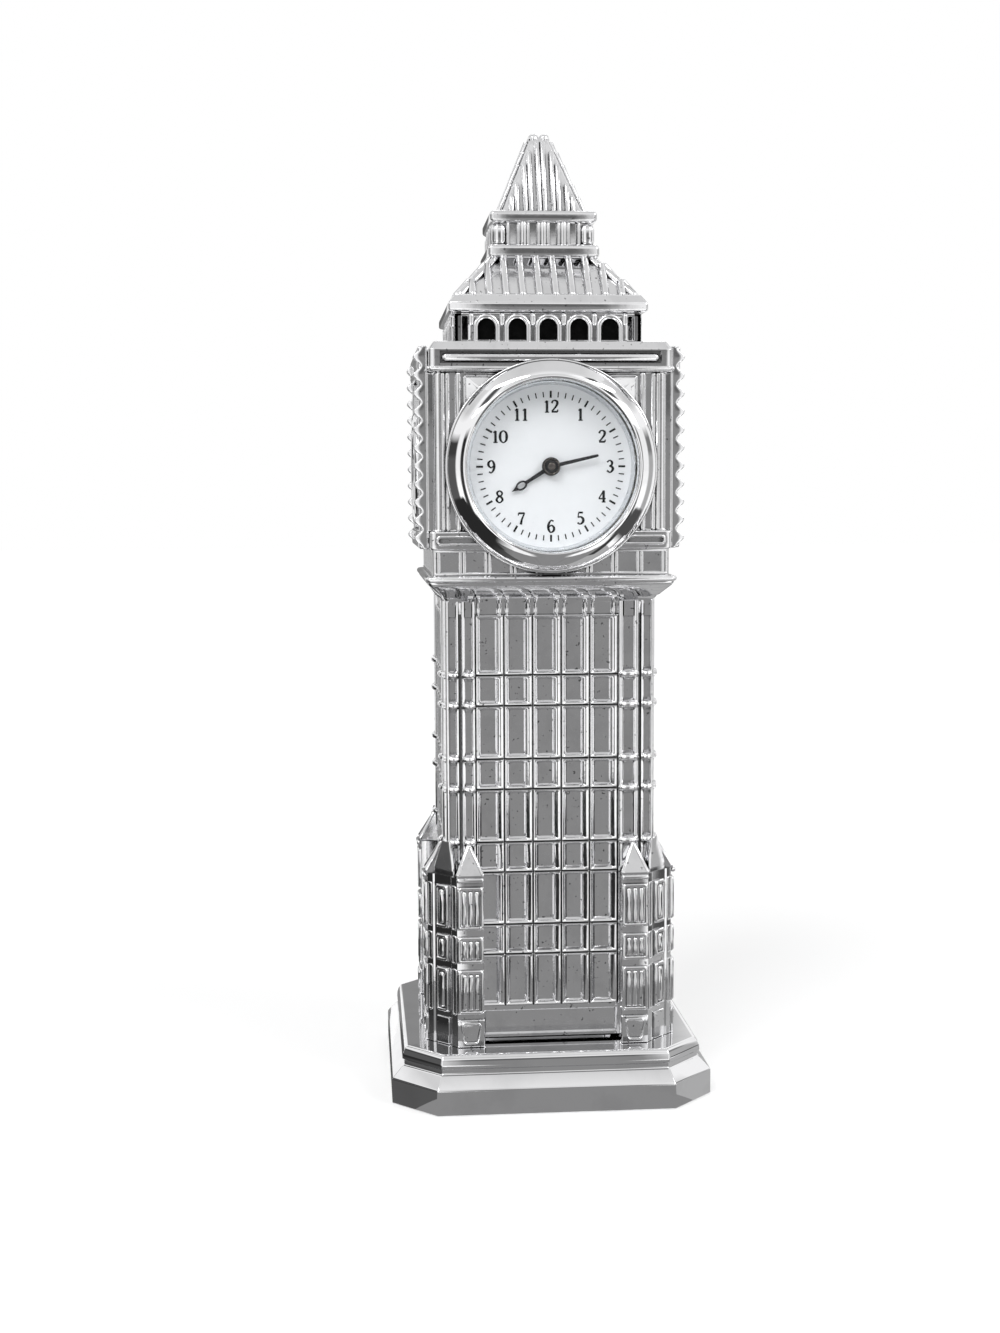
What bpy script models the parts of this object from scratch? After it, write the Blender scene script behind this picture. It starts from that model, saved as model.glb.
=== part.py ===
"""Chrome-plated clock-tower souvenir with a press-in quartz clock, built piece by piece.

Units are metres and +Z is up. The clock faces -Y and the origin is the centre of the underside.
"""
import math

import bmesh
import bpy
from mathutils import Matrix, Vector

MM = 0.001

# Fits
SEAT_GAP = 0.05 * MM
RUN_GAP = 0.06 * MM
SPIGOT_GAP = 0.1 * MM
TURNED_STEPS = 32
SMOOTH_ANGLE = math.radians(35.0)

# Base plinth, pad and screws
BASE_HALF = 21.5 * MM
BASE_CHAMFER = 5.8 * MM
FOOT_HEIGHT = 3.5 * MM
LOWER_SLOPE_RISE = 1.5 * MM
STEP_INSET = 1.4 * MM
STEP_HEIGHT = 1.0 * MM
UPPER_SLOPE_RISE = 1.7 * MM
UPPER_INSET = 0.9 * MM
PAD_INSET = 2.4 * MM
PAD_THICKNESS = 1.2 * MM
SCREW_SPREAD = 6.0 * MM
SCREW_RADIUS = 1.4 * MM
SCREW_HEAD_RADIUS = 2.7 * MM
SCREW_HEAD_HEIGHT = 1.6 * MM
SCREW_BITE = 3.5 * MM
SCREW_STEPS = 24
RISER_INSET = 3.0 * MM

# Shaft
SHAFT_LIFT = 0.5 * MM
SHAFT_HALF = 13.9 * MM
SHAFT_HEIGHT = 57.0 * MM
SHAFT_WALL = 2.2 * MM
SHAFT_FLOOR = 5.0 * MM
PILASTER_PROUD = 0.5 * MM
SHAFT_CORNER = 4.5 * MM
PILASTER_WIDTH = 2.35 * MM
PILASTER_HEAD_GAP = 0.6 * MM
RAIL_PROUD = 0.25 * MM
RAIL_HEIGHT = 0.9 * MM
FIRST_RAIL = 4.3 * MM
STOREY = 11.17 * MM
TALL_ROW = 7.1 * MM
STOREYS = 5
BAYS = 5
PANEL_WIDTH = 1.8 * MM
PANEL_START = 0.15 * MM
PANEL_MARGIN = 0.25 * MM
PANEL_DEPTH = 0.5 * MM
SPIGOT_INSET = 1.2 * MM
SPIGOT_HEIGHT = 2.0 * MM

# Corner buttresses
BUTTRESS_REACH = 3.1 * MM
BUTTRESS_LAP = 0.2 * MM
BUTTRESS_WIDTH = 3.6 * MM
BUTTRESS_CHAMFER = 0.8 * MM
BUTTRESS_EAVES = 22.9 * MM
BUTTRESS_CAP = 4.1 * MM
BUTTRESS_CREST = 0.15 * MM
BUTTRESS_WEB = 0.6 * MM
BUTTRESS_PANEL_DEPTH = 0.4 * MM
BUTTRESS_MARGIN = 0.5 * MM
BUTTRESS_FOOT = 3.9 * MM
BUTTRESS_TIERS = (6.2 * MM, 3.4 * MM, 5.7 * MM)
BUTTRESS_BAND = 1.1 * MM

# Clock stage
CORNICE_RISE = 2.4 * MM
CORNICE_COVE = 0.7 * MM
CORNICE_HALF = 16.2 * MM
CORNICE_FLARE = 1.6 * MM
CORNICE_ROLL = 1.1 * MM
FRIEZE_HALF = 15.3 * MM
FRIEZE_HEIGHT = 3.4 * MM
FRIEZE_BAYS = 9
FRIEZE_RIB = 0.9 * MM
FRIEZE_MARGIN = 0.5 * MM
FRIEZE_DEPTH = 0.5 * MM
STAGE_HALF = 15.85 * MM
LOWER_RAIL = 2.4 * MM
FIELD_HEIGHT = 20.5 * MM
FIELD_DEPTH = 0.7 * MM
UPPER_RAIL = 3.5 * MM
UPPER_BEVEL = 0.5 * MM
STAGE_WALL = 2.0 * MM
STAGE_ROOF = 2.0 * MM
DIAL_RISE = 8.35 * MM
BOSS_LIP = 0.35 * MM
BOSS_PROUD = 0.4 * MM
BORE_DEPTH = 7.2 * MM
BORE_OVERCUT = 1.4 * MM

# Dial panels of the other three faces
PANEL_HALF_LENGTH = 14.2 * MM
PANEL_THICKNESS = 0.8 * MM
PANEL_RAIL_PROUD = 0.5 * MM
BEAD_PITCH = 2.1 * MM
BEAD_PROUD = 0.8 * MM
BEAD_BASE = 0.2 * MM
BEAD_WIDTH = 1.6 * MM
BEAD_STEPS = 3
BLANK_DIAL_RADIUS = 6.5 * MM
BLANK_DIAL_PROUD = 0.35 * MM
BLANK_RING_WIDTH = 1.1 * MM
BLANK_RING_PROUD = 0.35 * MM

# Belfry, roofs, lantern and spire
BELFRY_HALF = 12.3 * MM
BELFRY_WALL = 1.0 * MM
BELFRY_HEIGHT = 3.75 * MM
ARCHES = 5
ARCH_PITCH = 4.05 * MM
ARCH_WIDTH = 2.1 * MM
ARCH_SILL = 0.4 * MM
ARCH_HEAD = 0.45 * MM
ARCH_STEPS = 6
END_SLOT_WIDTH = 1.3 * MM
END_POST = 0.5 * MM
EAVES_HALF = 13.1 * MM
EAVES_COVE = 0.5 * MM
EAVES_FACE = 1.1 * MM
EAVES_BEVEL = 0.8 * MM
ROOF_FOOT_INSET = 1.3 * MM
ROOF_RISE = 5.3 * MM
ROOF_RIB_PITCH = 2.15 * MM
ROOF_RIB_WIDTH = 0.9 * MM
ROOF_RIB_PROUD = 0.4 * MM
ROOF_RIBS = 9
LANTERN_HALF = 6.9 * MM
LANTERN_RIM_PROUD = 0.55 * MM
LANTERN_RIM = 1.8 * MM
LANTERN_HEIGHT = 2.8 * MM
LANTERN_WALL = 1.1 * MM
LANTERN_SLOTS = 4
LANTERN_SLOT_PITCH = 2.7 * MM
LANTERN_SLOT_WIDTH = 1.05 * MM
LANTERN_SLOT_MARGIN = 0.3 * MM
RIM_ROUND = 0.2
SPIRE_RIM_PROUD = 0.26 * MM
SPIRE_RIM = 1.6 * MM
SPIRE_FOOT_INSET = 1.2 * MM
SPIRE_RISE = 9.8 * MM
SPIRE_TOP_HALF = 1.7 * MM
SPIRE_CREST = 1.4 * MM
SPIRE_CREST_TAPER = 0.8 * MM
SPIRE_RIB_PITCH = 1.9 * MM
SPIRE_RIB_WIDTH = 1.1 * MM
SPIRE_RIB_PROUD = 0.35 * MM
SPIRE_RIBS = 5
LOCATOR_HEIGHT = 0.8 * MM

# Clock insert, from the dial side to the back
BEZEL_FLANGE = 1.3 * MM
BEZEL_HEIGHT = 2.0 * MM
BEZEL_LEDGE = 0.55 * MM
BEZEL_LIP = 0.4 * MM
BEZEL_EDGE = 0.3 * MM
BEZEL_STEPS = 6
CRYSTAL_INSET = 0.25 * MM
CRYSTAL_THICKNESS = 0.8 * MM
CASE_RADIUS = 12.2 * MM
CASE_DEPTH = 10.2 * MM
CASE_SHOULDER_WALL = 1.7 * MM
SKIRT_DEPTH = 1.0 * MM
SKIRT_WALL = 0.35 * MM
RIM_WALL = 0.5 * MM
DIAL_THICKNESS = 0.35 * MM
DIAL_HOLE = 1.0 * MM
DIAL_RING_WIDTH = 0.7 * MM
GRIP_DEPTH = 0.3 * MM
GRIP_WIDTH = 2.0 * MM
GRIP_FROM_FRONT = 4.2 * MM
BORE_GAP = 0.12 * MM
GRIP_GAP = 0.03 * MM

# Movement and hands
MOTION_SPACE = 2.2 * MM
PLATE_THICKNESS = 1.0 * MM
HOLDER_WALL = 1.0 * MM
BACK_THICKNESS = 1.0 * MM
BOARD_THICKNESS = 0.4 * MM
BOARD_FROM_BACK = 0.6 * MM
CLIP_THICKNESS = 0.2 * MM
CLIP_WIDTH = 1.4 * MM
MODULE = 0.25 * MM
TOOTH_ROOT = 1.2
TOOTH_TIP = 0.8
TOOTH_ROOT_SHARE = 0.3
TOOTH_TIP_SHARE = 0.11
CANNON_TEETH = 10
MINUTE_TEETH = 30
PINION_TEETH = 8
HOUR_TEETH = 32
SET_TEETH = 10
SET_TOWARDS = math.radians(-6.0)
WHEEL_THICKNESS = 0.6 * MM
WHEEL_GAP = 0.15 * MM
ARBOR_RADIUS = 0.4 * MM
PIPE_RADIUS = 0.85 * MM
POST_RADIUS = 0.4 * MM
BATTERY_EDGE = 0.8 * MM
BATTERY_GAP = 0.5 * MM
BATTERY_Y = -0.8 * MM
COIL_RADIUS = 1.0 * MM
COIL_LENGTH = 7.0 * MM
COIL_EDGE = 0.4 * MM
TRAIN_LEFT = 1.3 * MM
TRAIN_BELOW = 1.9 * MM
TRAIN_EDGE = 0.75 * MM
TRAIN_GAP = 0.6 * MM
KNOB_RADIUS = 2.2 * MM
KNOB_HEIGHT = 1.4 * MM
KNOB_GAP = 0.2 * MM
HAND_THICKNESS = 0.2 * MM
HAND_BOSS = 0.35 * MM
HAND_BOSS_RADIUS = 1.2 * MM
HAND_LIFT = 0.15 * MM
HOUR_HAND_LENGTH = 6.1 * MM
HOUR_HAND_WIDTH = 0.45 * MM
HOUR_LOOP_AT = 4.6 * MM
HOUR_LOOP_RADIUS = 0.62 * MM
HOUR_LOOP_HOLE = 0.33 * MM
HOUR_LEAF_START = 0.868 * MM
HOUR_LEAF = ((-0.372 * MM, 0.527 * MM), (0.0, HOUR_LOOP_RADIUS), (0.496 * MM, 0.372 * MM))
MINUTE_HAND_LENGTH = 6.3 * MM
MINUTE_HAND_WIDTH = 0.36 * MM
MINUTE_HAND_START = 0.6 * MM
NUT_RADIUS = 0.75 * MM
NUT_HEIGHT = 0.25 * MM
NUT_CROWN = 0.08 * MM
HAND_HEADROOM = 0.15 * MM
HOLE_STEPS = 16
ARBOR_TAIL = 2.0 * MM
HOUR_HAND_CLOCKWISE = math.radians(237.7)
MINUTE_HAND_CLOCKWISE = math.radians(77.0)

# Heights of the tower, from the ground up
BASE_TOP = FOOT_HEIGHT + LOWER_SLOPE_RISE + STEP_HEIGHT + UPPER_SLOPE_RISE
SHAFT_BOTTOM = BASE_TOP + SHAFT_LIFT
RISER_HALF = SHAFT_HALF - RISER_INSET
RISER_TOP = SHAFT_BOTTOM - SEAT_GAP
HEAD_TOP = PAD_THICKNESS + 2 * SEAT_GAP + SCREW_HEAD_HEIGHT
SCREW_END = SHAFT_BOTTOM + SCREW_BITE
SHAFT_HOLLOW = SHAFT_HALF - PANEL_DEPTH - SHAFT_WALL
SPIGOT_HALF = SHAFT_HALF - SPIGOT_INSET
PILASTER_INNER = SHAFT_HALF - SHAFT_CORNER
PILASTER_OUTER = PILASTER_INNER + PILASTER_WIDTH
BUTTRESS_HALF = SHAFT_HALF + BUTTRESS_REACH
BUTTRESS_INNER = PILASTER_INNER - BUTTRESS_LAP
BUTTRESS_BOTTOM = BASE_TOP + SEAT_GAP
SHAFT_TOP = SHAFT_BOTTOM + SHAFT_HEIGHT
STAGE_BOTTOM = SHAFT_TOP + SEAT_GAP
CORNICE_EDGE = STAGE_BOTTOM + CORNICE_RISE + CORNICE_FLARE
FRIEZE_BOTTOM = CORNICE_EDGE + CORNICE_ROLL
FRIEZE_TOP = FRIEZE_BOTTOM + FRIEZE_HEIGHT
FIELD_BOTTOM = FRIEZE_TOP + LOWER_RAIL
FIELD_TOP = FIELD_BOTTOM + FIELD_HEIGHT
STAGE_TOP = FIELD_TOP + UPPER_RAIL + UPPER_BEVEL
DIAL_Z = FIELD_BOTTOM + DIAL_RISE
BELFRY_INSIDE = BELFRY_HALF - BELFRY_WALL
BELFRY_BOTTOM = STAGE_TOP + SEAT_GAP
BELFRY_TOP = BELFRY_BOTTOM + BELFRY_HEIGHT
ROOF_BOTTOM = BELFRY_TOP + SEAT_GAP
ROOF_FOOT = ROOF_BOTTOM + EAVES_COVE + EAVES_FACE + EAVES_BEVEL
ROOF_TOP = ROOF_FOOT + ROOF_RISE
ROOF_FOOT_HALF = EAVES_HALF - ROOF_FOOT_INSET
ROOF_TOP_HALF = LANTERN_HALF
LANTERN_INSIDE = LANTERN_HALF - LANTERN_WALL
LANTERN_BOTTOM = ROOF_TOP + SEAT_GAP
LANTERN_TOP = LANTERN_BOTTOM + LANTERN_RIM + LANTERN_HEIGHT
SPIRE_BOTTOM = LANTERN_TOP + SEAT_GAP
SPIRE_FOOT = SPIRE_BOTTOM + SPIRE_RIM
SPIRE_TOP = SPIRE_FOOT + SPIRE_RISE

# Distances in front of the tower's axis, for the insert
BOSS_FRONT = STAGE_HALF + BOSS_PROUD
BEZEL_BACK = BOSS_FRONT + SEAT_GAP
CASE_FRONT = BEZEL_BACK - SEAT_GAP
CASE_BACK = CASE_FRONT - CASE_DEPTH
CRYSTAL_BACK = BEZEL_BACK
CRYSTAL_FRONT = CRYSTAL_BACK + CRYSTAL_THICKNESS
HAND_STACK = HAND_LIFT + 2 * HAND_BOSS + RUN_GAP + SEAT_GAP + NUT_HEIGHT + HAND_HEADROOM
DIAL_FRONT = CRYSTAL_BACK - HAND_STACK
DIAL_BACK = DIAL_FRONT - DIAL_THICKNESS
SHOULDER_FRONT = DIAL_BACK - SEAT_GAP
PLATE_FRONT = SHOULDER_FRONT - MOTION_SPACE
PLATE_BACK = PLATE_FRONT - PLATE_THICKNESS
BACK_FRONT = CASE_BACK + BACK_THICKNESS
BOARD_BACK = BACK_FRONT + BOARD_FROM_BACK
BOARD_FRONT = BOARD_BACK + BOARD_THICKNESS
BEZEL_RADIUS = CASE_RADIUS + BEZEL_FLANGE
CRYSTAL_RADIUS = CASE_RADIUS - SKIRT_WALL - CRYSTAL_INSET
BEZEL_OPENING = CRYSTAL_RADIUS - BEZEL_LEDGE
CASE_BORE = CASE_RADIUS - CASE_SHOULDER_WALL
DIAL_POCKET = CASE_RADIUS - SKIRT_WALL - SEAT_GAP - RIM_WALL
STAGE_BORE = CASE_RADIUS + BORE_GAP
MOVEMENT_RADIUS = CASE_BORE - SPIGOT_GAP
HOLDER_INSIDE = MOVEMENT_RADIUS - HOLDER_WALL
COIL_Y = math.sqrt((HOLDER_INSIDE - COIL_EDGE) ** 2 - (COIL_LENGTH / 2) ** 2) - COIL_RADIUS
TRAIN_ABOVE = COIL_Y - COIL_RADIUS - TRAIN_GAP
TRAIN_RIGHT = math.sqrt((HOLDER_INSIDE - TRAIN_EDGE) ** 2 - TRAIN_ABOVE ** 2)
BATTERY_RADIUS = (HOLDER_INSIDE - BATTERY_EDGE - TRAIN_LEFT - BATTERY_GAP) / 2
BATTERY_X = -TRAIN_LEFT - BATTERY_GAP - BATTERY_RADIUS
MOTION_DISTANCE = MODULE * (CANNON_TEETH + MINUTE_TEETH) / 2
SET_DISTANCE = MODULE * (MINUTE_TEETH + SET_TEETH) / 2
ARBOR_END = PLATE_BACK - ARBOR_TAIL
LOW_WHEEL = PLATE_FRONT + WHEEL_GAP
HIGH_WHEEL = LOW_WHEEL + WHEEL_THICKNESS + WHEEL_GAP
HOUR_HAND_AT = DIAL_FRONT + HAND_LIFT
MINUTE_HAND_AT = HOUR_HAND_AT + HAND_BOSS + RUN_GAP
NUT_AT = MINUTE_HAND_AT + HAND_BOSS + SEAT_GAP
STRAIGHT_DOWN = -math.pi / 2

# The motion work's phases: a tooth of each pinion stands in a gap of its wheel
CANNON_PHASE = STRAIGHT_DOWN
MINUTE_PHASE = -STRAIGHT_DOWN + math.pi / MINUTE_TEETH
PINION_PHASE = -STRAIGHT_DOWN
HOUR_PHASE = STRAIGHT_DOWN + math.pi / HOUR_TEETH
SET_TOOTH = round((SET_TOWARDS - MINUTE_PHASE) * MINUTE_TEETH / math.tau)
SET_DIRECTION = MINUTE_PHASE + SET_TOOTH * math.tau / MINUTE_TEETH
SET_PHASE = SET_DIRECTION + math.pi + math.pi / SET_TEETH
MINUTE_X = MOTION_DISTANCE * math.cos(STRAIGHT_DOWN)
MINUTE_Y = MOTION_DISTANCE * math.sin(STRAIGHT_DOWN)
SET_X = MINUTE_X + SET_DISTANCE * math.cos(SET_DIRECTION)
SET_Y = MINUTE_Y + SET_DISTANCE * math.sin(SET_DIRECTION)


def clear_scene():
    for item in list(bpy.data.objects):
        bpy.data.objects.remove(item, do_unlink=True)


def make_material(name, colour, metallic, roughness):
    finish = bpy.data.materials.new(name)
    finish.use_nodes = True
    shader = finish.node_tree.nodes["Principled BSDF"]
    shader.inputs["Base Color"].default_value = (*colour, 1.0)
    shader.inputs["Metallic"].default_value = metallic
    shader.inputs["Roughness"].default_value = roughness
    return finish


def chrome(name):
    return make_material(name + "_chrome", (0.78, 0.78, 0.79), 1.0, 0.12)


def brass(name):
    return make_material(name + "_brass", (0.72, 0.55, 0.25), 1.0, 0.3)


def steel(name):
    return make_material(name + "_steel", (0.6, 0.6, 0.62), 1.0, 0.3)


def plastic(name, colour):
    return make_material(name + "_plastic", colour, 0.0, 0.5)


def link(name, shape):
    """Turn a bmesh into a named object with outward faces."""
    bmesh.ops.recalc_face_normals(shape, faces=shape.faces)
    mesh = bpy.data.meshes.new(name)
    shape.to_mesh(mesh)
    shape.free()
    item = bpy.data.objects.new(name, mesh)
    bpy.context.scene.collection.objects.link(item)
    return item


def part(name, shape, finish, parent=None):
    item = link(name, shape)
    item.data.materials.append(finish)
    item.parent = parent
    return item


def tool(name, shape, parent=None):
    """A shape that only cuts or joins another one."""
    item = link(name, shape)
    item.hide_render = True
    item.display_type = "WIRE"
    item.parent = parent
    return item


def boolean(item, operand, operation):
    change = item.modifiers.new(operation.title() + "_" + operand.name, "BOOLEAN")
    change.operation = operation
    change.solver = "EXACT"
    change.object = operand


def smooth(item):
    item.data.shade_smooth()
    item.data.set_sharp_from_angle(angle=SMOOTH_ANGLE)


def axis_empty(name, location, parent=None):
    """An empty on a joint's axis; under the clock its local Z points out of the dial."""
    empty = bpy.data.objects.new(name, None)
    bpy.context.scene.collection.objects.link(empty)
    empty.location = location
    empty.parent = parent
    return empty


def add_prism(shape, outline, low, high):
    """Add a closed prism over an outline in X and Y."""
    bottom = [shape.verts.new((x, y, low)) for x, y in outline]
    top = [shape.verts.new((x, y, high)) for x, y in outline]
    count = len(outline)
    shape.faces.new(bottom[::-1])
    shape.faces.new(top)
    for i in range(count):
        j = (i + 1) % count
        shape.faces.new((bottom[i], bottom[j], top[j], top[i]))


def prism(outline, low, high):
    shape = bmesh.new()
    add_prism(shape, outline, low, high)
    return shape


def add_box(shape, low, high):
    add_prism(shape, rectangle(low[0], high[0], low[1], high[1]), low[2], high[2])


def box(low, high):
    shape = bmesh.new()
    add_box(shape, low, high)
    return shape


def rectangle(x0, x1, y0, y1):
    return [(x0, y0), (x1, y0), (x1, y1), (x0, y1)]


def square(half):
    return rectangle(-half, half, -half, half)


def octagon(half, cut):
    near = half - cut
    return [(near, -half), (half, -near), (half, near), (near, half),
            (-near, half), (-half, near), (-half, -near), (-near, -half)]


def circle(radius, steps=TURNED_STEPS, x=0.0, y=0.0):
    turns = [math.tau * i / steps for i in range(steps)]
    return [(x + radius * math.cos(a), y + radius * math.sin(a)) for a in turns]


def loft(sections):
    """Close a skin over outlines of equal length, each at its height."""
    shape = bmesh.new()
    rings = [[shape.verts.new((x, y, z)) for x, y in outline] for outline, z in sections]
    count = len(rings[0])
    shape.faces.new(rings[0][::-1])
    shape.faces.new(rings[-1])
    for lower, upper in zip(rings, rings[1:]):
        for i in range(count):
            j = (i + 1) % count
            shape.faces.new((lower[i], lower[j], upper[j], upper[i]))
    return shape


def turned(profile, steps=TURNED_STEPS):
    """Revolve a closed profile of radius and height about Z; a radius of 0 is a pole."""
    shape = bmesh.new()
    rings = []
    for radius, height in profile:
        if radius == 0.0:
            rings.append([shape.verts.new((0.0, 0.0, height))] * steps)
        else:
            rings.append([shape.verts.new((x, y, height)) for x, y in circle(radius, steps)])
    for here, there in zip(rings, rings[1:] + rings[:1]):
        for i in range(steps):
            j = (i + 1) % steps
            corners = []
            for corner in (here[i], here[j], there[j], there[i]):
                if corner not in corners:
                    corners.append(corner)
            if len(corners) > 2:
                shape.faces.new(corners)
    return shape


def pin(radius, low, high, steps=TURNED_STEPS):
    return prism(circle(radius, steps), low, high)


def tube(outer, inner, low, high, steps=TURNED_STEPS):
    return turned([(outer, low), (outer, high), (inner, high), (inner, low)], steps)


def four_sides(shape):
    """Repeat what is modelled on the front face on the other three faces."""
    made = shape.verts[:] + shape.edges[:] + shape.faces[:]
    for turn in range(1, 4):
        copy = bmesh.ops.duplicate(shape, geom=made)
        verts = [piece for piece in copy["geom"] if isinstance(piece, bmesh.types.BMVert)]
        bmesh.ops.rotate(shape, cent=(0, 0, 0), verts=verts,
                         matrix=Matrix.Rotation(turn * math.pi / 2, 3, "Z"))
    return shape


def gear_outline(teeth, phase):
    """Trapezoid teeth with backlash, one of them centred on the phase angle."""
    pitch = math.tau / teeth
    root = MODULE * (teeth / 2 - TOOTH_ROOT)
    tip = MODULE * (teeth / 2 + TOOTH_TIP)
    flanks = ((root, -TOOTH_ROOT_SHARE), (tip, -TOOTH_TIP_SHARE),
              (tip, TOOTH_TIP_SHARE), (root, TOOTH_ROOT_SHARE))
    outline = []
    for i in range(teeth):
        middle = phase + i * pitch
        for radius, share in flanks:
            angle = middle + share * pitch
            outline.append((radius * math.cos(angle), radius * math.sin(angle)))
    return outline


def stepped_hole(x, low, shoulder, high, wide, narrow):
    """A round hole with a counterbore, as one closed cutter."""
    shape = turned([(0.0, low), (wide, low), (wide, shoulder), (narrow, shoulder),
                    (narrow, high), (0.0, high)], SCREW_STEPS)
    bmesh.ops.translate(shape, verts=shape.verts, vec=(x, 0.0, 0.0))
    return shape


def make_base():
    step = FOOT_HEIGHT + LOWER_SLOPE_RISE
    levels = [(0.0, 0.0), (0.0, FOOT_HEIGHT), (STEP_INSET, step), (STEP_INSET, step + STEP_HEIGHT),
              (STEP_INSET + UPPER_INSET, BASE_TOP)]
    bend = 2 - math.sqrt(2)
    sections = [(octagon(BASE_HALF - d, BASE_CHAMFER - bend * d), z) for d, z in levels]
    plinth = part("base_plinth", loft(sections), chrome("base_plinth"))
    riser = box((-RISER_HALF, -RISER_HALF, step), (RISER_HALF, RISER_HALF, RISER_TOP))
    boolean(plinth, tool("base_riser", riser), "UNION")
    pocket = octagon(BASE_HALF - PAD_INSET, BASE_CHAMFER)
    cutter = prism(pocket, -PAD_THICKNESS, PAD_THICKNESS + SEAT_GAP)
    boolean(plinth, tool("pad_pocket", cutter), "DIFFERENCE")
    pad_outline = octagon(BASE_HALF - PAD_INSET - SPIGOT_GAP, BASE_CHAMFER)
    part("base_pad", prism(pad_outline, 0.0, PAD_THICKNESS), plastic("base_pad", (0.03, 0.03, 0.035)))
    for name, side in (("left", -1), ("right", 1)):
        x = side * SCREW_SPREAD
        hole = stepped_hole(x, 0.0, HEAD_TOP + SEAT_GAP, SHAFT_BOTTOM + SHAFT_FLOOR,
                            SCREW_HEAD_RADIUS + SPIGOT_GAP, SCREW_RADIUS + SPIGOT_GAP)
        boolean(plinth, tool("screw_hole_" + name, hole), "DIFFERENCE")
        screw = stepped_hole(x, HEAD_TOP - SCREW_HEAD_HEIGHT, HEAD_TOP, SCREW_END,
                             SCREW_HEAD_RADIUS, SCREW_RADIUS)
        part("base_screw_" + name, screw, steel("base_screw_" + name))


def rail_heights():
    """Middle heights of the shaft's string courses, from the lowest up."""
    heights = []
    for storey in range(STOREYS):
        heights.append(SHAFT_BOTTOM + FIRST_RAIL + storey * STOREY)
        heights.append(heights[-1] + TALL_ROW)
    return heights[:-1]


def shaft_rows():
    """Bottom and top of each row of panels between the string courses."""
    clear = RAIL_HEIGHT / 2 + PANEL_MARGIN
    heights = rail_heights() + [SHAFT_TOP - PILASTER_HEAD_GAP]
    return [(low + clear, high - clear) for low, high in zip(heights, heights[1:])]


def make_shaft():
    sections = [(square(SHAFT_HALF), SHAFT_BOTTOM), (square(SHAFT_HALF), SHAFT_TOP),
                (square(SPIGOT_HALF), SHAFT_TOP), (square(SPIGOT_HALF), SHAFT_TOP + SPIGOT_HEIGHT)]
    shaft = part("tower_shaft", loft(sections), chrome("tower_shaft"))
    rails = bmesh.new()
    for height in rail_heights():
        add_prism(rails, square(SHAFT_HALF + RAIL_PROUD), height - RAIL_HEIGHT / 2, height + RAIL_HEIGHT / 2)
    boolean(shaft, tool("string_courses", rails), "UNION")
    pilasters = bmesh.new()
    for x0, x1 in ((PILASTER_INNER, PILASTER_OUTER), (-PILASTER_OUTER, -PILASTER_INNER)):
        add_box(pilasters, (x0, -SHAFT_HALF - PILASTER_PROUD, SHAFT_BOTTOM + FIRST_RAIL),
                (x1, -SHAFT_HALF + PANEL_DEPTH, SHAFT_TOP - PILASTER_HEAD_GAP))
    boolean(shaft, tool("pilasters", four_sides(pilasters)), "UNION")
    panels = bmesh.new()
    front = -SHAFT_HALF - PILASTER_PROUD
    pitch = 2 * PILASTER_INNER / BAYS
    for bay in range(BAYS):
        x0 = -PILASTER_INNER + bay * pitch + PANEL_START
        for low, high in shaft_rows():
            add_box(panels, (x0, front, low), (x0 + PANEL_WIDTH, -SHAFT_HALF + PANEL_DEPTH, high))
    add_box(panels, (-PILASTER_INNER, front, SHAFT_BOTTOM + PANEL_MARGIN),
            (PILASTER_INNER, -SHAFT_HALF + PANEL_DEPTH / 2,
             SHAFT_BOTTOM + FIRST_RAIL - RAIL_HEIGHT / 2 - PANEL_MARGIN))
    boolean(shaft, tool("shaft_panels", four_sides(panels)), "DIFFERENCE")
    hollow = box((-SHAFT_HOLLOW, -SHAFT_HOLLOW, SHAFT_BOTTOM + SHAFT_FLOOR),
                 (SHAFT_HOLLOW, SHAFT_HOLLOW, SHAFT_TOP + 2 * SPIGOT_HEIGHT))
    boolean(shaft, tool("shaft_hollow", hollow), "DIFFERENCE")
    for name, side in (("left", -1), ("right", 1)):
        tapping = pin(SCREW_RADIUS + SEAT_GAP, BASE_TOP, SCREW_END + SEAT_GAP, SCREW_STEPS)
        bmesh.ops.translate(tapping, verts=tapping.verts, vec=(side * SCREW_SPREAD, 0.0, 0.0))
        boolean(shaft, tool("tapping_" + name, tapping), "DIFFERENCE")


def buttress_outline():
    """Plan of the pair of buttresses on the front right corner."""
    back = SHAFT_HALF + PILASTER_PROUD + SPIGOT_GAP
    outer = BUTTRESS_INNER + BUTTRESS_WIDTH
    edge = outer + BUTTRESS_CHAMFER
    inside = 2 * (SHAFT_HALF + RAIL_PROUD + SPIGOT_GAP)
    notch = inside + BUTTRESS_WEB * math.sqrt(2)
    front = [(BUTTRESS_INNER, -back), (BUTTRESS_INNER, -BUTTRESS_HALF), (outer, -BUTTRESS_HALF),
             (edge, BUTTRESS_CHAMFER - BUTTRESS_HALF), (edge, edge - notch)]
    side = [(-y, -x) for x, y in reversed(front)]
    return front + side + [(back, back - inside), (inside - back, -back)]


def cut_slope(shape, point, normal):
    """Cut a shape along a plane, keep what lies below it and close the cut."""
    made = shape.verts[:] + shape.edges[:] + shape.faces[:]
    cut = bmesh.ops.bisect_plane(shape, geom=made, plane_co=point, plane_no=normal, clear_outer=True)
    edges = [piece for piece in cut["geom_cut"] if isinstance(piece, bmesh.types.BMEdge)]
    bmesh.ops.contextual_create(shape, geom=edges)


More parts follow.
